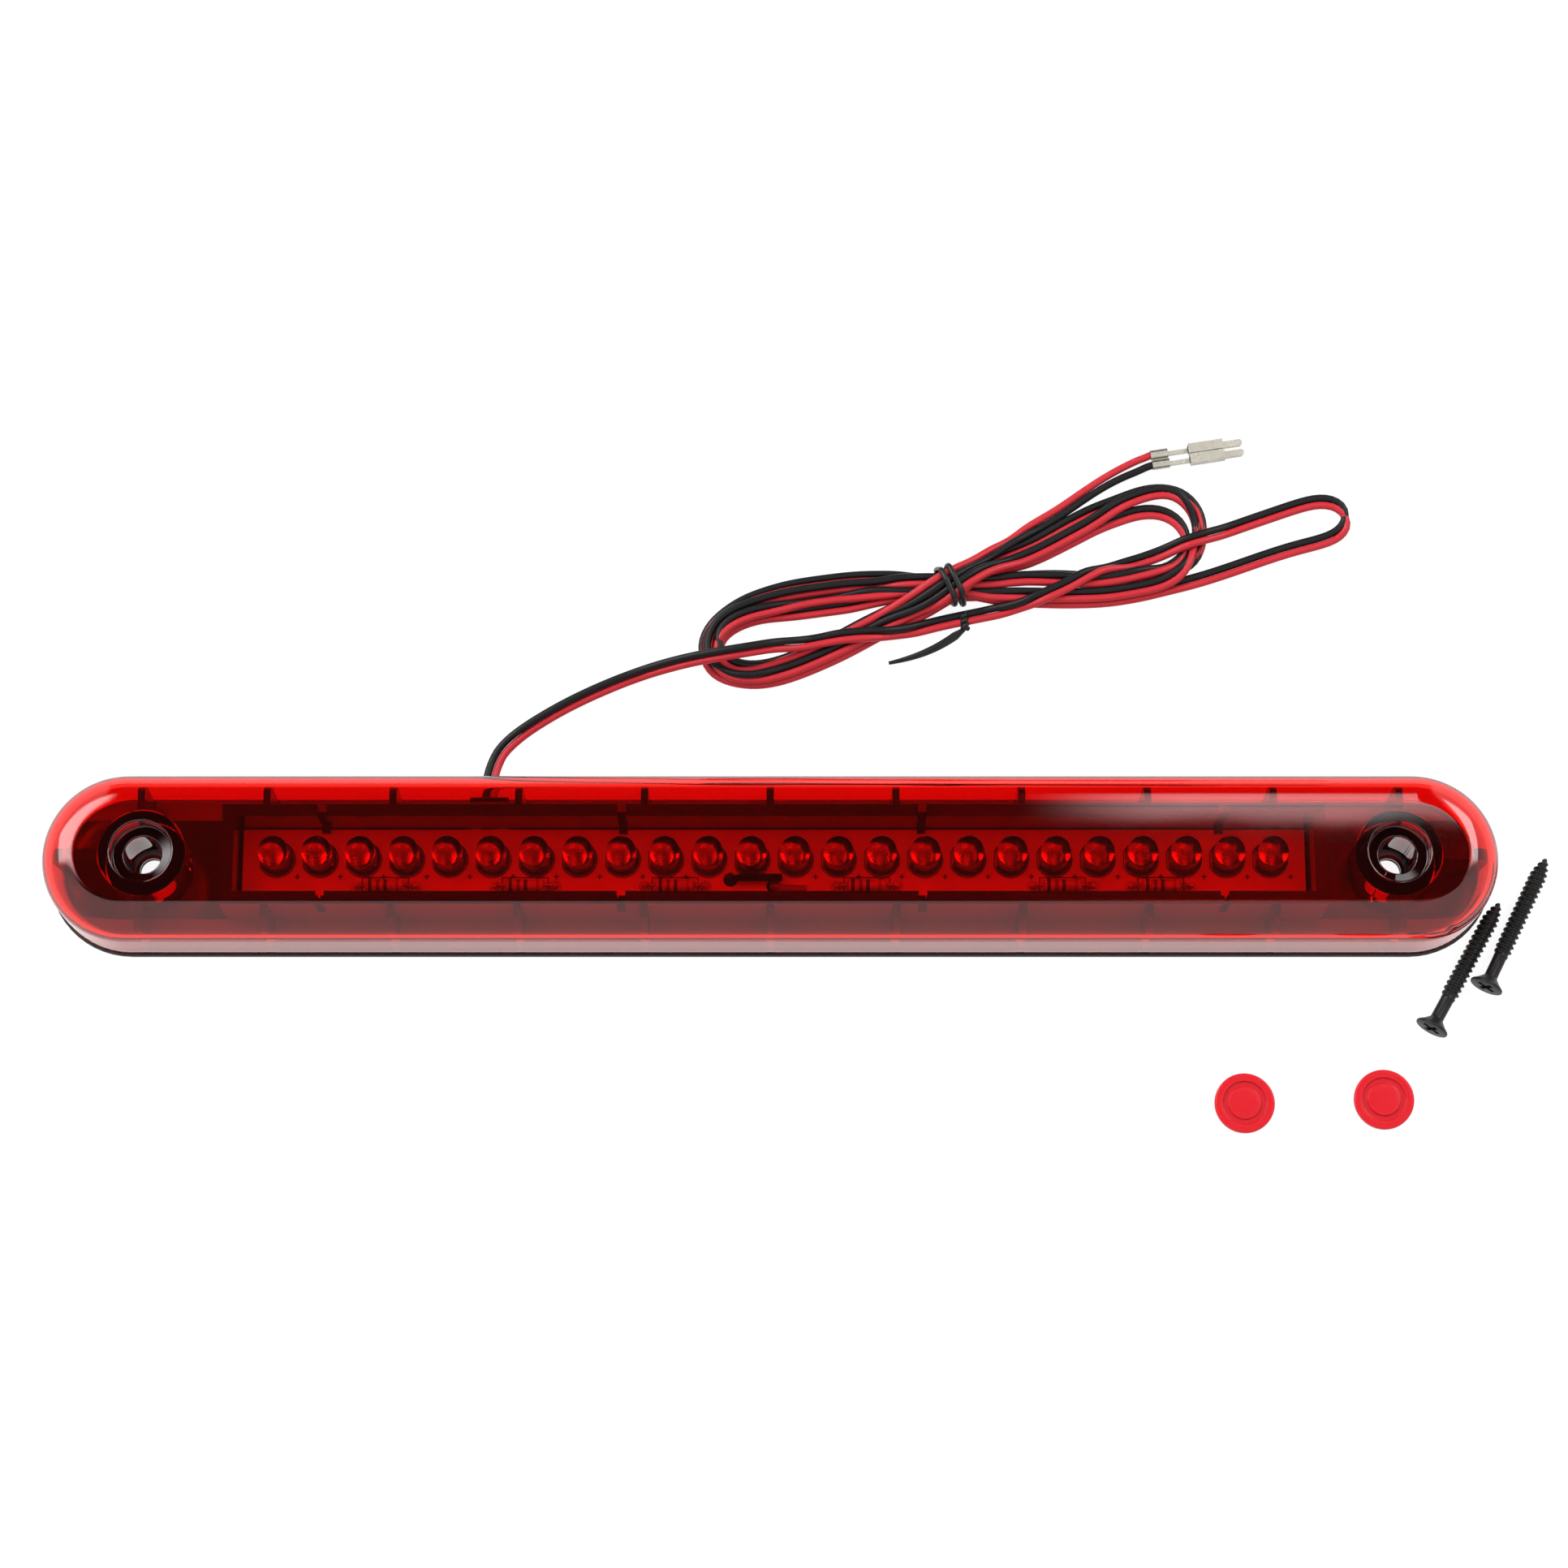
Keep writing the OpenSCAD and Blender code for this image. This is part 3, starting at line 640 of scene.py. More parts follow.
RIGHT_LANES = (
    (0.05, 0.05, 0.05, 0.05, 0.05, 0.05, 0.1, 0.3, 0.6),
    (0.74,) * 9,
    (0.9, 0.85, 0.5, 0.12, -0.02, 0.15, 0.4, 0.5, 0.35),
)
LOWER_SIDES = (-1.25, 1.25, 1.25, -1.25)
LEFT_SIDES = (1.25, -1.25, -1.25, 1.25)
LEVELS = (1.1, 1.1, 3.2, 3.2)
OVER = (5.1, 5.1, 7.0, 7.0)


class TwinLead:
    """Lays the flat twin lead in its hank: two wires side by side that settle under gravity."""

    spacing = 1.1
    rest_bump = 0.6

    def __init__(self, wire, gap):
        self.gap = gap
        self.rest = wire / 2
        self.middle = self.even(self.guide())

    def stretch(self, rims, lanes, height):
        """Points of one turn, each in its lane between the outer and the inner rim."""
        lanes = lanes if isinstance(lanes, tuple) else (lanes,) * len(rims[0])
        return [
            np.array([*(np.array(outer) * (1 - lane) + np.array(inner) * lane), height])
            for outer, inner, lane in zip(*rims, lanes)
        ]

    def guide(self):
        """The middle of the lead before it settles, turn by turn."""
        half = self.gap / 2
        points = [np.array(p) + ((0, 0.74 * half, 0.68 * half) if at > 3 else (-half, 0, 0))
                  for at, p in enumerate(LEAD)]
        for turn in range(4):
            low, over = LEVELS[turn], OVER[turn]
            points += self.stretch(LOWER, LOWER_LANES[turn], low)
            points.append(np.array([TIE[0], TIE[1] + LOWER_SIDES[turn], low]))
            left = self.stretch(LEFT, LEFT_LANES[turn], low)
            left[-1][2] = low + 0.9
            points += left
            points.append(np.array([24.3, 46.2 + 0.72 * LEFT_SIDES[turn], 0.15 * low + 0.85 * over]))
            points.append(np.array([TIE[0] + 0.3, TIE[1] + LEFT_SIDES[turn], over]))
            if turn == 3:
                points.append(np.array([36.3, 54.2, 6.6]))
                points += [np.array(point, float) for point in TAIL]
                break
            points.append(np.array([36.6, 53.2 + 0.8 * LEFT_SIDES[turn], 0.85 * over + 0.15 * low]))
            right = self.stretch(RIGHT, RIGHT_LANES[turn], low)
            right[0][2] = 0.45 * over + 0.55 * low
            if turn == 2:
                for point in right[2:7]:
                    point[2] = 3.4
            points += right
        return points

    def even(self, points):
        """A smooth curve through the points, with its own points evenly spaced."""
        points = [2 * points[0] - points[1], *points, 2 * points[-1] - points[-2]]
        curve = []
        for a, b, c, d in zip(points, points[1:], points[2:], points[3:]):
            knots = np.cumsum([0] + [np.linalg.norm(q - p) ** 0.5 for p, q in ((a, b), (b, c), (c, d))])
            for at in np.linspace(knots[1], knots[2], 12, endpoint=False):
                row, width = [a, b, c, d], 1
                while len(row) > 1:
                    spans = [(knots[k], knots[k + width]) for k in range(len(row) - 1)]
                    if len(row) == 2:
                        spans = [(knots[1], knots[2])]
                    row = [((end - at) * p + (at - start) * q) / (end - start)
                           for p, q, (start, end) in zip(row, row[1:], spans)]
                    width += 1
                curve.append(row[0])
        curve = np.array(curve + [points[-2]])
        run = np.concatenate([[0], np.cumsum(np.linalg.norm(np.diff(curve, axis=0), axis=1))])
        marks = np.linspace(0, run[-1], int(round(run[-1] / self.spacing)) + 1)
        return np.stack([np.interp(marks, run, curve[:, axis]) for axis in range(3)], 1)

    def start(self):
        """The two wires before they settle, with the half turn near the terminals."""
        middle = self.middle
        count = len(middle)
        run = np.arange(count) * self.spacing
        ahead = np.gradient(middle, axis=0)
        ahead /= np.linalg.norm(ahead, axis=1)[:, None]
        blend = np.clip(run / 22, 0, 1)[:, None]
        blend = blend * blend * (3 - 2 * blend)
        lean = np.array([-1, 0, 0]) * (1 - blend) + np.array([0, 0.74, 0.68]) * blend
        twist = np.clip((run - (run[-1] - 75)) / 35, 0, 1)
        twist = math.pi * (twist * twist * (3 - 2 * twist))[:, None]
        side = lean - (lean * ahead).sum(1)[:, None] * ahead
        side /= np.linalg.norm(side, axis=1)[:, None]
        up = np.cross(ahead, side)
        side = np.cos(twist) * side + np.sin(twist) * up * np.where(up[:, 2:] > 0, 1, -1)
        wires = np.concatenate([middle - side * self.gap / 2, middle + side * self.gap / 2])
        wires[:, 2] = np.maximum(wires[:, 2], self.rest)
        return wires, count

    def settle(self, steps):
        """Lets the wires fall, press on each other and draw together at the tie."""
        wires, count = self.start()
        home = wires.copy()
        held = np.zeros(2 * count)
        fixed = int(8 / self.spacing)
        for offset in (0, count):
            held[offset:offset + fixed] = 1
            held[offset + count - 2:offset + count] = 1
        free = (1 - held)[:, None]
        pull = np.full(2 * count, 0.012)
        for offset in (0, count):
            pull[offset:offset + int(60 / self.spacing)] = 0.1
        along = np.arange(2 * count) % count
        # Millimetres: one step's fall, how near stretches are before they can press, and at the tie
        # its half width, the half width it draws the hank to, and how far out it reaches
        fall, press_within, tie_half, drawn_to, tie_reach = 0.012, 2.2, 4, 2.9, 5.6
        hank_from = int(200 / self.spacing)
        ahead = self.middle[hank_from:hank_from + 90]
        hank_from += int(np.argmin(np.linalg.norm(ahead - (71, 50.9, 1.3), axis=1)))
        lie = 0.35
        wide, deep = math.cos(lie), math.sin(lie)
        floor = np.full(2 * count, self.rest)
        for step in range(steps):
            if step % 8 == 0:
                square = (wires * wires).sum(1)
                gaps = square[:, None] + square[None] - 2 * wires @ wires.T
                one, two = np.nonzero(np.triu(gaps < press_within**2, 1))
                apart = np.abs(along[one] - along[two]) >= 4
                one, two = one[apart], two[apart]
                over_tie = np.linalg.norm(wires[:, :2] - TIE, axis=1)
                floor = self.rest + self.rest_bump * np.exp(-((over_tie / 6) ** 2)) * (along > hank_from)
            wires[:, 2] -= free[:, 0] * fall
            wires[:, :2] += (home - wires)[:, :2] * pull[:, None] * free
            wires[:, 2] += (home - wires)[:, 2] * np.where(pull > 0.05, 0.1, 0) * free[:, 0]
            for _ in range(2):
                self.press(wires, one, two, free)
                self.pair(wires, count, free)
                for offset in (0, count):
                    self.straighten(wires[offset:offset + count], free[offset:offset + count])
                off = wires[:, :2] - TIE
                near = (np.abs(off[:, 0] * wide + off[:, 1] * deep) < tie_half) & (along > hank_from)
                across = off[:, 1] * wide - off[:, 0] * deep
                reached = near & (np.abs(across) < tie_reach)
                out = np.sign(across) * np.maximum(np.abs(across) - drawn_to, 0) * reached
                wires[:, 0] += 0.3 * deep * out * free[:, 0]
                wires[:, 1] -= 0.3 * wide * out * free[:, 0]
                wires[:, 2] = np.maximum(wires[:, 2], floor)
        return wires[:count], wires[count:]

    def press(self, wires, one, two, free):
        """Pushes apart any two stretches that lie in each other."""
        gap = wires[two] - wires[one]
        far = np.maximum(np.linalg.norm(gap, axis=1), 1e-6)
        hit = far < self.gap
        push = gap[hit] / far[hit][:, None] * ((self.gap - far[hit])[:, None] * 0.3)
        shift = np.zeros_like(wires)
        np.add.at(shift, one[hit], -push)
        np.add.at(shift, two[hit], push)
        wires += shift * free

    def pair(self, wires, count, free):
        """Keeps the red and the black wire side by side."""
        gap = wires[count:] - wires[:count]
        far = np.linalg.norm(gap, axis=1)[:, None]
        shift = (far - self.gap) / far * gap * 0.5
        wires[:count] += shift * free[:count]
        wires[count:] -= shift * free[count:]

    def straighten(self, wire, free):
        """Resists sharp bends and keeps a wire's length."""
        bend = np.zeros_like(wire)
        bend[2:-2] = (4 * wire[1:-3] + 4 * wire[3:-1] - wire[:-4] - wire[4:]) / 6 - wire[2:-2]
        wire += bend * 0.5 * free
        bend = np.zeros_like(wire)
        bend[1:-1] = 0.5 * (wire[:-2] + wire[2:]) - wire[1:-1]
        wire += bend * 0.04 * free
        links = np.diff(wire, axis=0)
        size = np.linalg.norm(links, axis=1)[:, None]
        pull = (size - self.spacing) / size * links * 0.25
        shift = np.zeros_like(wire)
        shift[:-1] += pull
        shift[1:] -= pull
        wire += shift * free


def cord_curve(name, points, diameter, made):
    """A round cord along points in millimetres."""
    line = bpy.data.curves.new(name, "CURVE")
    line.dimensions = "3D"
    line.bevel_depth = diameter * MM / 2
    line.bevel_resolution = 4
    line.use_fill_caps = True
    spline = line.splines.new("POLY")
    spline.points.add(len(points) - 1)
    spline.points.foreach_set("co", np.c_[np.array(points) * MM, np.ones(len(points))].ravel())
    spline.use_smooth = True
    line.materials.append(made)
    cord = bpy.data.objects.new(name, line)
    bpy.context.scene.collection.objects.link(cord)
    return cord


class BRAKE_OT_lead(bpy.types.Operator):
    """Makes the red and the black wire of the twin lead, in their hank, and their inner ends"""

    bl_idname = "brake.lead"
    bl_label = "Twin lead"

    def execute(self, context):
        sizes, colours = context.scene.brake_lead, context.scene.brake_colours
        wire, gap = sizes.wire / MM, sizes.gap / MM
        red_end, black_end = (65.1, 73.5, 0.85), (65.4, 71.7, 0.85)
        red, black = TwinLead(wire, gap).settle(1200)
        hank_at = int(215 / TwinLead.spacing)
        context.scene["bundle"] = np.concatenate([red[hank_at:], black[hank_at:]]).ravel().tolist()
        red = self.into_terminal(red, red_end)
        black = self.into_terminal(black, black_end)
        grain, depth, mottle = 0.25, 0.008, 6.0
        red_finish = finish("red insulation", tuple(colours.red_wire), 0.38, (0.36, 0.014, 0.022),
                            grain, depth, mottle, Specular_IOR_Level=0.2)
        black_finish = finish("black insulation", tuple(colours.black_wire), 0.36, (0.007, 0.006, 0.006),
                              grain, depth, mottle, Specular_IOR_Level=0.15)
        for name, points, made, slot, nodes in (
            ("red_lead", red, red_finish, "red_insulation", ("red_wire", "red_wire_tail", "wire_hank")),
            ("black_lead", black, black_finish, "black_insulation", ("black_wire", "black_wire_tail")),
        ):
            cord = belongs(cord_curve(name, points, wire, made), stands_for=nodes)
            points[0] * MM
        for name, made in (("red_inner_lead", red_finish), ("black_inner_lead", black_finish)):
            redress(name, made)
            soften_node(name)
        metal = brushed_finish("tinned terminal", (0.52, 0.49, 0.42), 0.3)
        for name in ("red_terminal", "black_terminal"):
            redress(name, metal)
        return {"FINISHED"}

    def into_terminal(self, points, end):
        """Leads the last stretch of a wire into its terminal's barrel."""
        reach = np.array(end) - points[-1]
        count = 14
        blend = np.linspace(0, 1, count)[:, None] ** 2
        points = points.copy()
        points[-count:] += reach * blend
        points[:, 2] = np.maximum(points[:, 2], 0.65)
        return points


def soften_node(name):
    """Smooth shading for a CAD node, through a modifier that welds its seams."""
    thing = NODES[name]
    weld = thing.modifiers.new("weld", "WELD")
    weld.merge_threshold = 1e-6
    smooth = thing.modifiers.new("smooth", "WEIGHTED_NORMAL")
    smooth.keep_sharp = True


class BRAKE_OT_tie(bpy.types.Operator):
    """Makes the twist tie round the hank: two coated strands, their twist, and a flat tail"""

    bl_idname = "brake.tie"
    bl_label = "Twist tie"

    def execute(self, context):
        made = finish("tie coating", (0.004, 0.004, 0.0045), 0.34, (0.01, 0.01, 0.01), 0.4, 0.01, 5.0,
                      Specular_IOR_Level=0.2)
        bundle = np.array(context.scene["bundle"]).reshape(-1, 3)
        turn = math.radians(TIE_TURN)
        ahead, side = np.array([math.cos(turn), math.sin(turn)]), np.array([-math.sin(turn), math.cos(turn)])
        parts = []
        for offset in (-0.75, 0.75):
            off = bundle[:, :2] - TIE
            near = np.abs(off @ ahead - offset) < 1.2
            loop = self.hull(np.c_[off[near] @ side, bundle[near][:, 2]], 1.02)
            loop[:, 1] = np.maximum(loop[:, 1], 0.38)
            centre = TIE + ahead * offset
            ring = [(*(centre + side * across), up) for across, up in loop]
            parts.append(self.strand(ring))
        knot = np.array([*(TIE - side * 5.0), 1.0])
        parts += self.twist(knot, knot + np.array([0.3, -2.6, -0.15]))
        parts.append(self.tail(knot + np.array([0.3, -2.6, -0.1])))
        belongs(piece("twist_tie", *joined(parts), made, 50), stands_for=("wire_tie",))
        return {"FINISHED"}

    def hull(self, dots, reach):
        """A smooth loop round a bundle's cut, reach millimetres outside its wires' centres."""
        turns = np.linspace(0, 2 * math.pi, 72, endpoint=False)
        rays = np.c_[np.cos(turns), np.sin(turns)]
        support = (dots @ rays.T).max(0) + reach
        after = np.roll(support, -1)
        step = turns[1] - turns[0]
        slide = (after - support * math.cos(step)) / math.sin(step)
        normals = np.c_[-rays[:, 1], rays[:, 0]]
        loop = rays * support[:, None] + normals * slide[:, None]
        return np.array([0.25 * a + 0.5 * b + 0.25 * c
                         for a, b, c in zip(np.roll(loop, 1, 0), loop, np.roll(loop, -1, 0))])

    def strand(self, ring, wide=0.5, thick=0.34, sides=10):
        """A closed flattened strand round a ring."""
        ring = np.array(ring)
        ahead = np.roll(ring, -1, 0) - np.roll(ring, 1, 0)
        ahead /= np.linalg.norm(ahead, axis=1)[:, None]
        turn = math.radians(TIE_TURN)
        side = np.tile(np.array([math.cos(turn), math.sin(turn), 0]), (len(ring), 1))
        out = np.cross(ahead, side)
        points, faces, count = [], [], len(ring)
        for at in range(count):
            for k in range(sides):
                angle = 2 * math.pi * k / sides
                across, up = wide * math.cos(angle) * side[at], thick * math.sin(angle) * out[at]
                points.append(tuple(ring[at] + across + up))
        for at in range(count):
            after = (at + 1) % count
            for k in range(sides):
                more = (k + 1) % sides
                faces.append([at * sides + k, at * sides + more, after * sides + more, after * sides + k])
        return points, faces

    def twist(self, start, end, turns=1.5, steps=40):
        """Two strands wound round each other."""
        parts = []
        for phase in (0, math.pi):
            path = []
            for step in range(steps + 1):
                share = step / steps
                angle = phase + 2 * math.pi * turns * share
                middle = start * (1 - share) + end * share
                path.append(middle + 0.42 * np.array([math.cos(angle), 0, math.sin(angle)]))
            angles = [2 * math.pi * k / 10 for k in range(10)]
            circle = [(0.42 * math.cos(angle), 0.42 * math.sin(angle)) for angle in angles]
            parts.append(swept(path, lambda share: circle))
        return parts

    def tail(self, start):
        """The flat end: a ribbon with a core wire down its middle."""
        path = []
        for step in range(41):
            share = step / 40
            path.append(start * (1 - share) + np.array([20.0, 36.5, 0.4]) * share
                        + np.array([0.5, -0.9, 0]) * math.sin(math.pi * share)
                        + np.array([0, 0, 0.35]) * math.sin(math.pi * share) ** 2)
        half = [(-1, 0), (-0.97, 0.12), (-0.35, 0.15), (-0.2, 0.3), (0, 0.36), (0.2, 0.3), (0.35, 0.15),
                (0.97, 0.12), (1, 0)]

        def section(share):
            wide = 0.75 * min(1, 0.4 + 4 * share) * (1 - 0.6 * share**2)
            thick = 1 - 0.4 * share**2
            under = [(wide * a, -0.55 * thick * b) for a, b in half[-2:0:-1]]
            return [(wide * a, thick * b) for a, b in half] + under

        return swept(path, section)


# ---------------------------------------------------------------- the housing


class BRAKE_OT_lens(bpy.types.Operator):
    """Makes the clear red lens with its rounded edge, two pillars, stepped bores and lead exit"""

    bl_idname = "brake.lens"
    bl_label = "Lens"

    def execute(self, context):
        sizes = context.scene.brake_housing
        run = (sizes.length - sizes.width) / 2 / MM
        half, height = sizes.width / 2 / MM, sizes.height / MM
        wall, roof, edge = sizes.wall / MM, (sizes.height - sizes.roof) / MM, sizes.edge / MM
        hole = sizes.spacing / 2 / MM
        lens = piece("clear_lens", *domed(run, half, 1, height, edge), None)
        inside = domed(run, half - wall, -1, roof, edge - wall)
        carve(lens, piece("inside", *inside, None), "DIFFERENCE")
        rebate = layers([round_ended(run, half - 0.8, 0), round_ended(run, half - 0.8, 2)])
        carve(lens, piece("rebate", *rebate, None), "DIFFERENCE")
        pillar = turned([(0, 2), (6.9, 2), (7.1, 2.2), *corner((7.5, roof - 0.4), 0.4, 180, 90)[:4],
                         (7.5, roof + 0.4), (0, roof + 0.4)], 96)
        pillars = joined([moved(pillar, -hole), moved(pillar, hole)])
        carve(lens, piece("pillars", *pillars, None), "UNION")
        bore = turned([(0, 0), (3.1, 0), (3.1, 12.75), *corner((3.35, 12.75), 0.25, 180, 90), (4.8, 13),
                       *corner((4.8, 13.2), 0.2, -90, 0), *corner((5.35, height - 0.35), 0.35, 180, 90),
                       (5.35, height + 1), (0, height + 1)], 96)
        bores = joined([moved(bore, -hole), moved(bore, hole)])
        carve(lens, piece("bores", *bores, None), "DIFFERENCE")
        carve(lens, piece("exit", *box((-50.2, 8.8, 0), (-43.8, 20, 2.6)), None), "DIFFERENCE")
        soften(lens.data, 34)
        lens.data.materials.clear()
        lens.data.materials.append(lens_finish(tuple(context.scene.brake_colours.lens)))
        even = lens.modifiers.new("even", "WEIGHTED_NORMAL")
        even.keep_sharp = True
        belongs(lens, stands_for=("lens",))
        return {"FINISHED"}


class BRAKE_OT_housing(bpy.types.Operator):
    """Finishes the base, gasket, sealing bead, grommet and board"""

    bl_idname = "brake.housing"
    bl_label = "Base and gasket"

    def execute(self, context):
        rubber = finish("soft rubber", (0.02, 0.02, 0.02), 0.6, (0.045, 0.043, 0.04), 0.3, 0.03, 4.0)
        bead = finish("milky sealant", (0.86, 0.8, 0.77), 0.45, (0.7, 0.6, 0.57), 0.8, 0.05, 3.0,
                      Subsurface_Weight=0.4, Subsurface_Scale=0.001)
        mask = finish("white solder mask", tuple(context.scene.brake_colours.board), 0.32,
                      (0.86, 0.85, 0.8), 0.5, 0.006, 12.0, Coat_Weight=0.3, Coat_Roughness=0.15)
        for node, made in (("base", moulding_finish()), ("gasket", foam_finish()), ("sealing_bead", bead),
                           ("cable_grommet", rubber), ("circuit_board", mask)):
            redress(node, made)
        return {"FINISHED"}


# ---------------------------------------------------------------- the board


class BRAKE_OT_lamps(bpy.types.Operator):
    """Makes the 24 clear lamps and finishes their lead frames"""

    bl_idname = "brake.lamps"
    bl_label = "Lamps"

    def execute(self, context):
        outline = [(0, 0), (2.75, 0), *corner((2.75, 0.15), 0.15, -90, 0, 3),
                   *corner((2.75, 0.85), 0.15, 0, 90, 3), (2.62, 1.0), (2.5, 1.12), (2.5, 3.5),
                   *corner((0, 6.1), 2.5, 0, 90, 14)[:-1], (0, 8.6)]
        points, faces = turned(outline, 48)
        points = [(max(x, -2.5), y, z) if z < 1.05 else (x, y, z) for x, y, z in points]
        epoxy = epoxy_finish()
        first = None
        for number in range(1, LED_COUNT + 1):
            name = f"led_{number:02d}"
            if first:
                lamp = repeated(first, f"lamp_{number:02d}")
            else:
                first = lamp = piece(f"lamp_{number:02d}", points, faces, epoxy, 34)
            set_down(lamp, led_x(number), LED_Y, BOARD_Z)
            belongs(lamp, stands_for=(name,))
        redress("led_lead_frames", brushed_finish("silvered lead frame", (0.5, 0.48, 0.46), 0.28, (6, 6, 1)))
        return {"FINISHED"}


class BRAKE_OT_resistors(bpy.types.Operator):
    """Makes the six banded resistors and finishes their leads and the solder"""

    bl_idname = "brake.resistors"
    bl_label = "Resistors"

    def execute(self, context):
        outline = [(0, -3.2), (0.45, -3.2), (0.8, -3.12), *corner((0.75, -2.75), 0.4, -80, 0, 5),
                   (1.15, -2.2), *corner((0.85, -2.05), 0.3, 20, 70, 3), (0.97, -1.5), (0.966, 0)]
        outline += [(radius, -along) for radius, along in outline[-2::-1]]
        points, faces = turned(outline, 40)
        points = [(z, y, -x) for x, y, z in points]
        made = resistor_finish()
        first = None
        for number, x in enumerate(RESISTOR_X, 1):
            name = f"resistor_{number}"
            if first:
                body = repeated(first, f"banded_{name}")
            else:
                first = body = piece(f"banded_{name}", points, faces, made, 60)
            set_down(body, x, RESISTOR_Y, BOARD_Z + RESISTOR_RISE)
            belongs(body, stands_for=(name,))
        redress("resistor_leads", brushed_finish("tinned wire", (0.82, 0.8, 0.76), 0.28))
        redress("solder_joints", brushed_finish("solder", (0.76, 0.76, 0.78), 0.2, (1, 1, 1)))
        return {"FINISHED"}


class BRAKE_OT_marks(bpy.types.Operator):
    """Prints the outlines and polarity marks on the board and lays the resistors' pads"""

    bl_idname = "brake.marks"
    bl_label = "Board marks"

    def execute(self, context):
        parts = []
        low, high = BOARD_Z, BOARD_Z + 0.04
        for number in range(1, LED_COUNT + 1):
            x = led_x(number)
            outer, inner = self.flat_circle(x, 3.12, 2.82), self.flat_circle(x, 2.95, 2.65)
            parts.append(self.band(outer, inner, low, high))
            for wide, tall in ((0.45, 0.11), (0.11, 0.45)):
                top = high + 0.005 * (wide > tall)
                parts.append(box((x + 3.4 - wide, -1.9 - tall, low), (x + 3.4 + wide, -1.9 + tall, top)))
        for x in RESISTOR_X:
            outer = self.block(x, 3.9, 1.62)
            inner = self.block(x, 3.72, 1.44)
            parts.append(self.band(outer, inner, low, high))
        ink = finish("board ink", (0.03, 0.03, 0.035), 0.5, (0.07, 0.07, 0.07), 0.2, 0.004, 2.0)
        belongs(piece("board_marks", *joined(parts), ink))
        pads = []
        for x in RESISTOR_X:
            for side in (-1, 1):
                place = (x + side * RESISTOR_PADS / 2, RESISTOR_Y)
                rings = [self.round_at(place, radius) for radius in (1.05, 0.5)]
                pads.append(self.band(*rings, low, high + 0.02))
        tin = brushed_finish("tinned pad", (0.78, 0.76, 0.7), 0.3)
        belongs(piece("board_pads", *joined(pads), tin))
        return {"FINISHED"}

    def round_at(self, place, radius, steps=32):
        turns = [2 * math.pi * step / steps for step in range(steps)]
        return [(place[0] + radius * math.cos(t), place[1] + radius * math.sin(t)) for t in turns]

    def flat_circle(self, x, radius, flat):
        """A circle round a lamp with its flat towards the left."""
        return [(max(px, x - flat), py) for px, py in self.round_at((x, LED_Y), radius, 56)]

    def block(self, x, wide, tall):
        """A rectangle round a resistor."""
        corners = ((-wide, -tall), (wide, -tall), (wide, tall), (-wide, tall))
        return [(x + px, RESISTOR_Y + py) for px, py in corners]

    def band(self, outer, inner, low, high):
        """The flat strip between two closed lines, with its thickness."""
        count = len(outer)
        points = [(*p, z) for z in (low, high) for line in (outer, inner) for p in line]
        faces = []
        for at in range(count):
            after = (at + 1) % count
            rows = (0, count, 3 * count, 2 * count)
            for one, two in zip(rows, rows[1:] + rows[:1]):
                faces.append([one + at, one + after, two + after, two + at])
        return points, faces


# ---------------------------------------------------------------- screws and caps


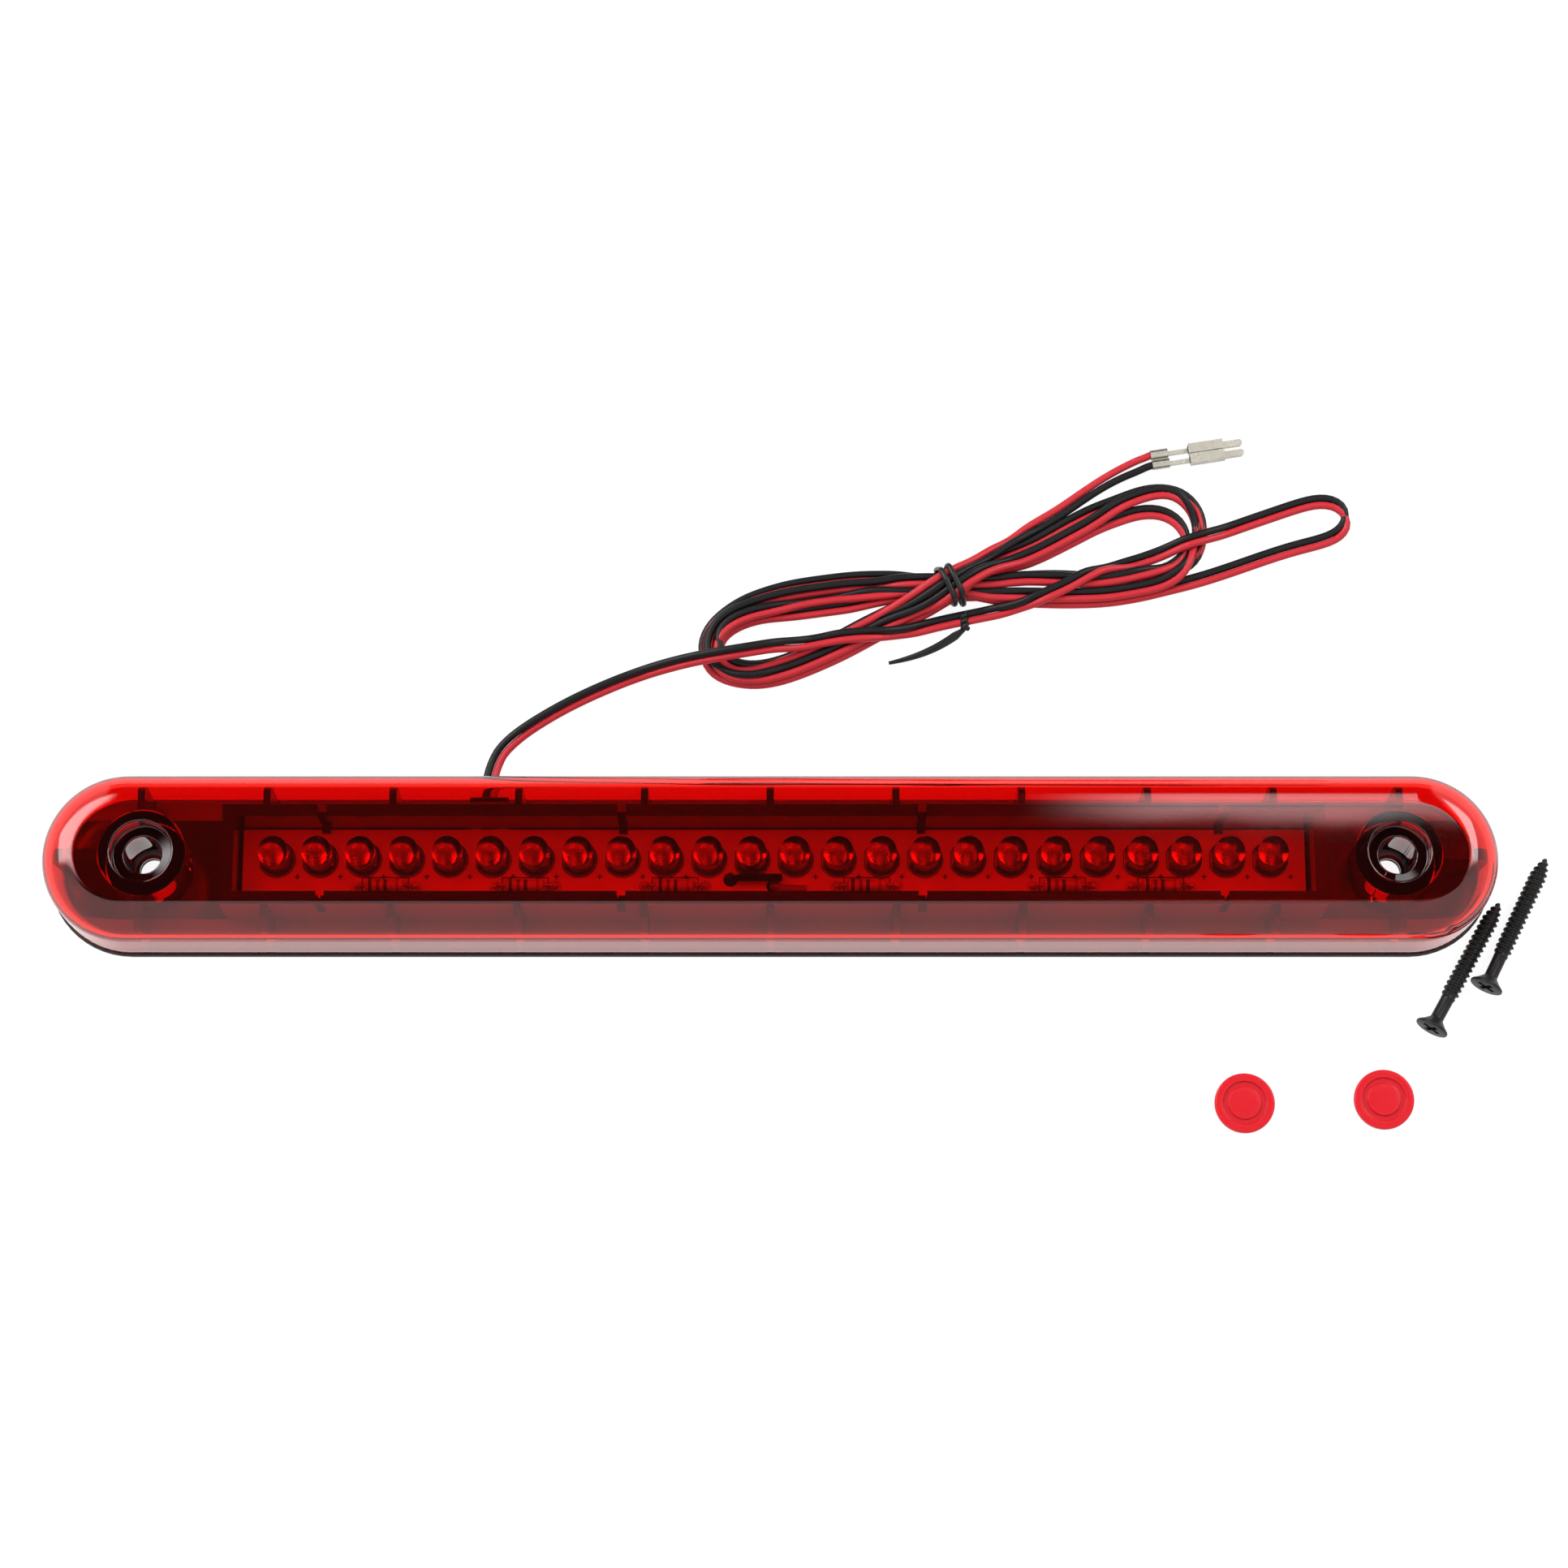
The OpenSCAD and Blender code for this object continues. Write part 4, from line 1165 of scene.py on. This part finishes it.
class BRAKE_OT_screws(bpy.types.Operator):
    """Makes the two black self-tapping screws with cut threads and cross recesses"""

    bl_idname = "brake.screws"
    bl_label = "Screws"

    places = ((109, -27, 60), (118.3, -20, 63))
    pitch = 1.0
    core = 1.1
    thread_start = 5.6

    def execute(self, context):
        sizes = context.scene.brake_fixings
        total, crest, head = sizes.screw / MM, sizes.thread / 2 / MM, sizes.head / 2 / MM
        points, faces = self.body(total, crest, head)
        made = finish("black phosphate", (0.004, 0.004, 0.004), 0.38, (0.01, 0.0095, 0.009), 0.25, 0.02, 3.0,
                      Specular_IOR_Level=0.16)
        first = piece("screw", points, faces, made, 40)
        recess = []
        for half_w, half_l in ((0.42, 1.62), (1.62, 0.42)):
            rings = [[(a * w, b * l, z) for a, b in ((-1, -1), (1, -1), (1, 1), (-1, 1))]
                     for w, l, z in ((half_w * 1.04, half_l * 1.04, -0.1), (half_w * 0.7, half_l * 0.6, 1.3))]
            recess.append(layers(rings))
        for number, cut in enumerate(recess):
            carve(first, piece(f"recess_{number}", *cut, None), "DIFFERENCE")
        soften(first.data, 40)
        tilt = math.asin((head - crest) / (total - 3))
        for number, (x, y, heading) in enumerate(self.places, 1):
            screw = bpy.data.objects.new(f"black_screw_{number}", first.data.copy())
            context.scene.collection.objects.link(screw)
            screw.data.transform(
                Matrix.Translation(Vector((x, y, head * math.cos(tilt) + 0.02)) * MM)
                @ Matrix.Rotation(math.radians(heading), 4, "Z") @ Matrix.Rotation(tilt, 4, "Y")
                @ Matrix.Rotation(math.radians(25), 4, "X") @ Matrix.Rotation(math.pi / 2, 4, "Y")
            )
            belongs(screw, f"screw_{number}_body", (f"screw_{number}",))
        bpy.data.objects.remove(first)
        return {"FINISHED"}

    def body(self, total, crest, head):
        """A countersunk head, a plain neck, and a helical thread down to the point."""
        core, start, step = self.core, self.thread_start, 0.1
        rows = [(0.0, 0.0), (head - 0.12, 0.0), (head - 0.03, 0.05), (head, 0.15), (head, 0.3),
                (head - 0.08, 0.4), (core + (head - core) * 0.52, 1.0), (core + 0.2, 1.7),
                (core + 0.03, 1.95), (core, 2.3), (core, 4.0)]
        radius = lambda along, turn: self.thread(along, turn, total, crest)
        rows += [(radius, start + step * at) for at in range(int((total - 0.25 - start) / step) + 1)]
        return turned([*rows, (0.0, total)], 40)

    def thread(self, along, turn, total, crest):
        """Radius of the threaded part at a height and an angle."""
        core = self.core
        phase = (along / self.pitch - turn / (2 * math.pi)) % 1.0
        tooth = float(np.interp(phase, (0, 0.34, 0.44, 0.78, 1), (0, 1, 1, 0, 0)))
        fade = min(1.0, max(0.0, (along - self.thread_start) / 1.4))
        left = max(0.0, total - along)
        taper = min(1.0, left / 3.6) ** 0.6
        return core * max(0.1, taper) + (crest - core) * tooth * fade * min(1.0, left / 2.2) ** 0.5


class BRAKE_OT_caps(bpy.types.Operator):
    """Makes the two tapered red caps with a ring sunk in their tops"""

    bl_idname = "brake.caps"
    bl_label = "Caps"

    places = ((77.9, -39.4), (100.8, -38.8))

    def execute(self, context):
        rim = context.scene.brake_fixings.cap / 2 / MM
        outline = [(0, 0), *corner((3.9, 0.2), 0.2, -90, 0, 4), (rim - 0.42, 1.95), (rim - 0.3, 2.0),
                   *corner((rim - 0.12, 2.12), 0.12, -90, 0, 3), *corner((rim - 0.28, 2.72), 0.28, 0, 90, 6),
                   *corner((3.75, 2.85), 0.15, 90, 180, 4), *corner((3.45, 2.75), 0.15, 0, -90, 4),
                   *corner((2.85, 2.75), 0.15, -90, -180, 4), *corner((2.55, 2.85), 0.15, 0, 90, 4),
                   (1.2, 3.0), (0.35, 2.98), (0, 2.97)]
        points, faces = turned(outline, 96)
        made = finish("red cap plastic", tuple(context.scene.brake_colours.cap), 0.3, (0.36, 0.003, 0.007),
                      0.5, 0.006, 9.0, Specular_IOR_Level=0.2, Subsurface_Weight=0.25,
                      Subsurface_Scale=0.002, Subsurface_Radius=(1, 0.15, 0.1))
        first = None
        for number, (x, y) in enumerate(self.places, 1):
            if first:
                cap = repeated(first, f"red_cap_{number}")
            else:
                first = cap = piece("red_cap_1", points, faces, made, 40)
            set_down(cap, x, y)
            belongs(cap, f"cap_{number}_body", (f"cap_{number}",))
        return {"FINISHED"}


# ---------------------------------------------------------------- the add-on

OPERATORS = (
    BRAKE_OT_stage, BRAKE_OT_lead, BRAKE_OT_tie, BRAKE_OT_lens, BRAKE_OT_housing, BRAKE_OT_lamps,
    BRAKE_OT_resistors, BRAKE_OT_marks, BRAKE_OT_screws, BRAKE_OT_caps,
)


class BRAKE_PT_pieces(bpy.types.Panel):
    """Lists the sizes, the colours and the pieces"""

    bl_idname = "BRAKE_PT_pieces"
    bl_label = "Third brake light"
    bl_space_type = "VIEW_3D"
    bl_region_type = "UI"
    bl_category = "Brake Light"

    def draw(self, context):
        for group in GROUPS:
            settings = getattr(context.scene, group)
            for name in settings.bl_rna.properties.keys():
                if name not in ("rna_type", "name"):
                    self.layout.prop(settings, name)
        for operator in OPERATORS:
            self.layout.operator(operator.bl_idname)


GROUPS = {
    "brake_housing": HousingSizes,
    "brake_lead": LeadSizes,
    "brake_fixings": FixingSizes,
    "brake_colours": Colours,
}
CLASSES = (*GROUPS.values(), *OPERATORS, BRAKE_PT_pieces)


def register():
    """Adds the classes and the scene's settings."""
    for made in CLASSES:
        bpy.utils.register_class(made)
    for name, group in GROUPS.items():
        setattr(bpy.types.Scene, name, bpy.props.PointerProperty(type=group))


def unregister():
    """Removes the scene's settings and the classes."""
    for name in GROUPS:
        delattr(bpy.types.Scene, name)
    for made in reversed(CLASSES):
        bpy.utils.unregister_class(made)


def main():
    """Builds every piece in order."""
    register()
    for operator in OPERATORS:
        group, name = operator.bl_idname.split(".")
        getattr(getattr(bpy.ops, group), name)()


if __name__ == "__main__":
    main()
